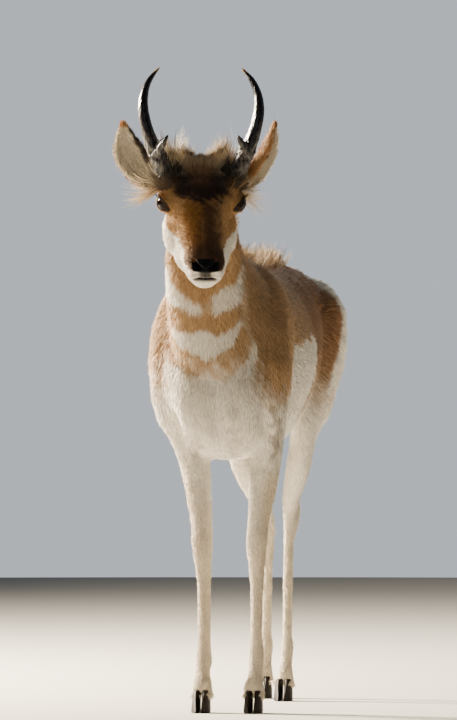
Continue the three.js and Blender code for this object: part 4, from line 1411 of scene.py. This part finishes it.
# Each light: sideways, ahead and up from the animal's middle, diameter, watts, colour
lights = {
    "key": ((-3.1, 1.9, 1.5), 0.9, 1750, (1.0, 0.85, 0.66)),
    "back": ((0.6, 4.0, 3.0), 1.6, 110, (1.0, 0.95, 0.86)),
    "fill": ((-0.6, -4.6, 1.6), 3.0, 8, (0.86, 0.92, 1.0)),
}
cosine, sine = math.cos(studio["azimuth"]), math.sin(studio["azimuth"])
forward, rightward = np.array((-sine, cosine, 0)), np.array((cosine, sine, 0))


def makeFloor():
    values = {"Base Color": (*hexToLinear(studio["floor"]), 1), "Roughness": 0.85, "Specular IOR Level": 0.1}
    material = newMaterial("paleFloorPaint", values, False)[0]
    around = np.arange(96)
    turns = 2 * math.pi * around / 96
    rim = studio["floorRadius"] * np.stack((np.cos(turns), np.sin(turns), 0 * turns), 1)
    points = np.concatenate((np.zeros((1, 3)), rim)) + (origin[0], origin[1], -studio["floorDrop"])
    floor = meshFrom("floor", points, np.stack((0 * around, 1 + around, 1 + (around + 1) % 96), 1))
    floor.data.materials.append(material)


def areaLight(name, offset, size, power, colour):
    data = bpy.data.lights.new(name, "AREA")
    data.shape, data.size, data.energy = "DISK", size, power
    data.color = colour
    lamp = bpy.data.objects.new(name, data)
    bpy.context.scene.collection.objects.link(lamp)
    middle = origin + np.array((0, 0.15, 0.65))
    lamp.location = middle + rightward * offset[0] + forward * offset[1] + np.array((0, 0, offset[2]))
    lamp.rotation_euler = Vector(middle - np.array(lamp.location)).to_track_quat("-Z", "Y").to_euler()


makeFloor()
for name, looks in lights.items():
    areaLight(name, *looks)


def makeAir():
    # a room that is pale behind the animal and dimmer before it
    air = bpy.data.worlds.new("studioAir")
    bpy.context.scene.world = air
    air.use_nodes = True
    tree = air.node_tree
    way = addNode(tree, "ShaderNodeTexCoord")
    facing = addNode(tree, "ShaderNodeVectorMath", {"operation": "DOT_PRODUCT", 1: tuple(forward)},
                     {0: way.outputs["Generated"]})
    low, high = studio["airLevels"]
    level = addNode(tree, "ShaderNodeMapRange",
                    {"From Min": -0.6, "From Max": 0.8, "To Min": low, "To Max": high},
                    {"Value": facing.outputs["Value"]})
    # the backdrop itself stays as pale as the floor
    rays = addNode(tree, "ShaderNodeLightPath")
    seen = addNode(tree, "ShaderNodeMix", {"data_type": "FLOAT", "B": studio["backdrop"]},
                   {"Factor": rays.outputs["Is Camera Ray"], "A": level.outputs["Result"]})
    background = tree.nodes["Background"]
    background.inputs["Color"].default_value = studio["air"]
    tree.links.new(seen.outputs["Result"], background.inputs["Strength"])


makeAir()

cameraData = bpy.data.cameras.new("camera")
cameraData.sensor_width = 36
cameraData.lens = 36 * studio["focalPixels"] / studio["pictureSize"]
cameraData.clip_end = 300
camera = bpy.data.objects.new("camera", cameraData)
bpy.context.scene.collection.objects.link(camera)
camera.location = origin - forward * studio["distance"] + np.array((0, 0, studio["height"]))
left, down = (math.atan(shift / studio["focalPixels"]) for shift in studio["shift"])
look = forward * math.cos(down) - np.array((0, 0, math.sin(down))) - rightward * math.tan(left)
camera.rotation_euler = Vector(look).to_track_quat("-Z", "Y").to_euler()
bpy.context.scene.camera = camera

print("studio set")
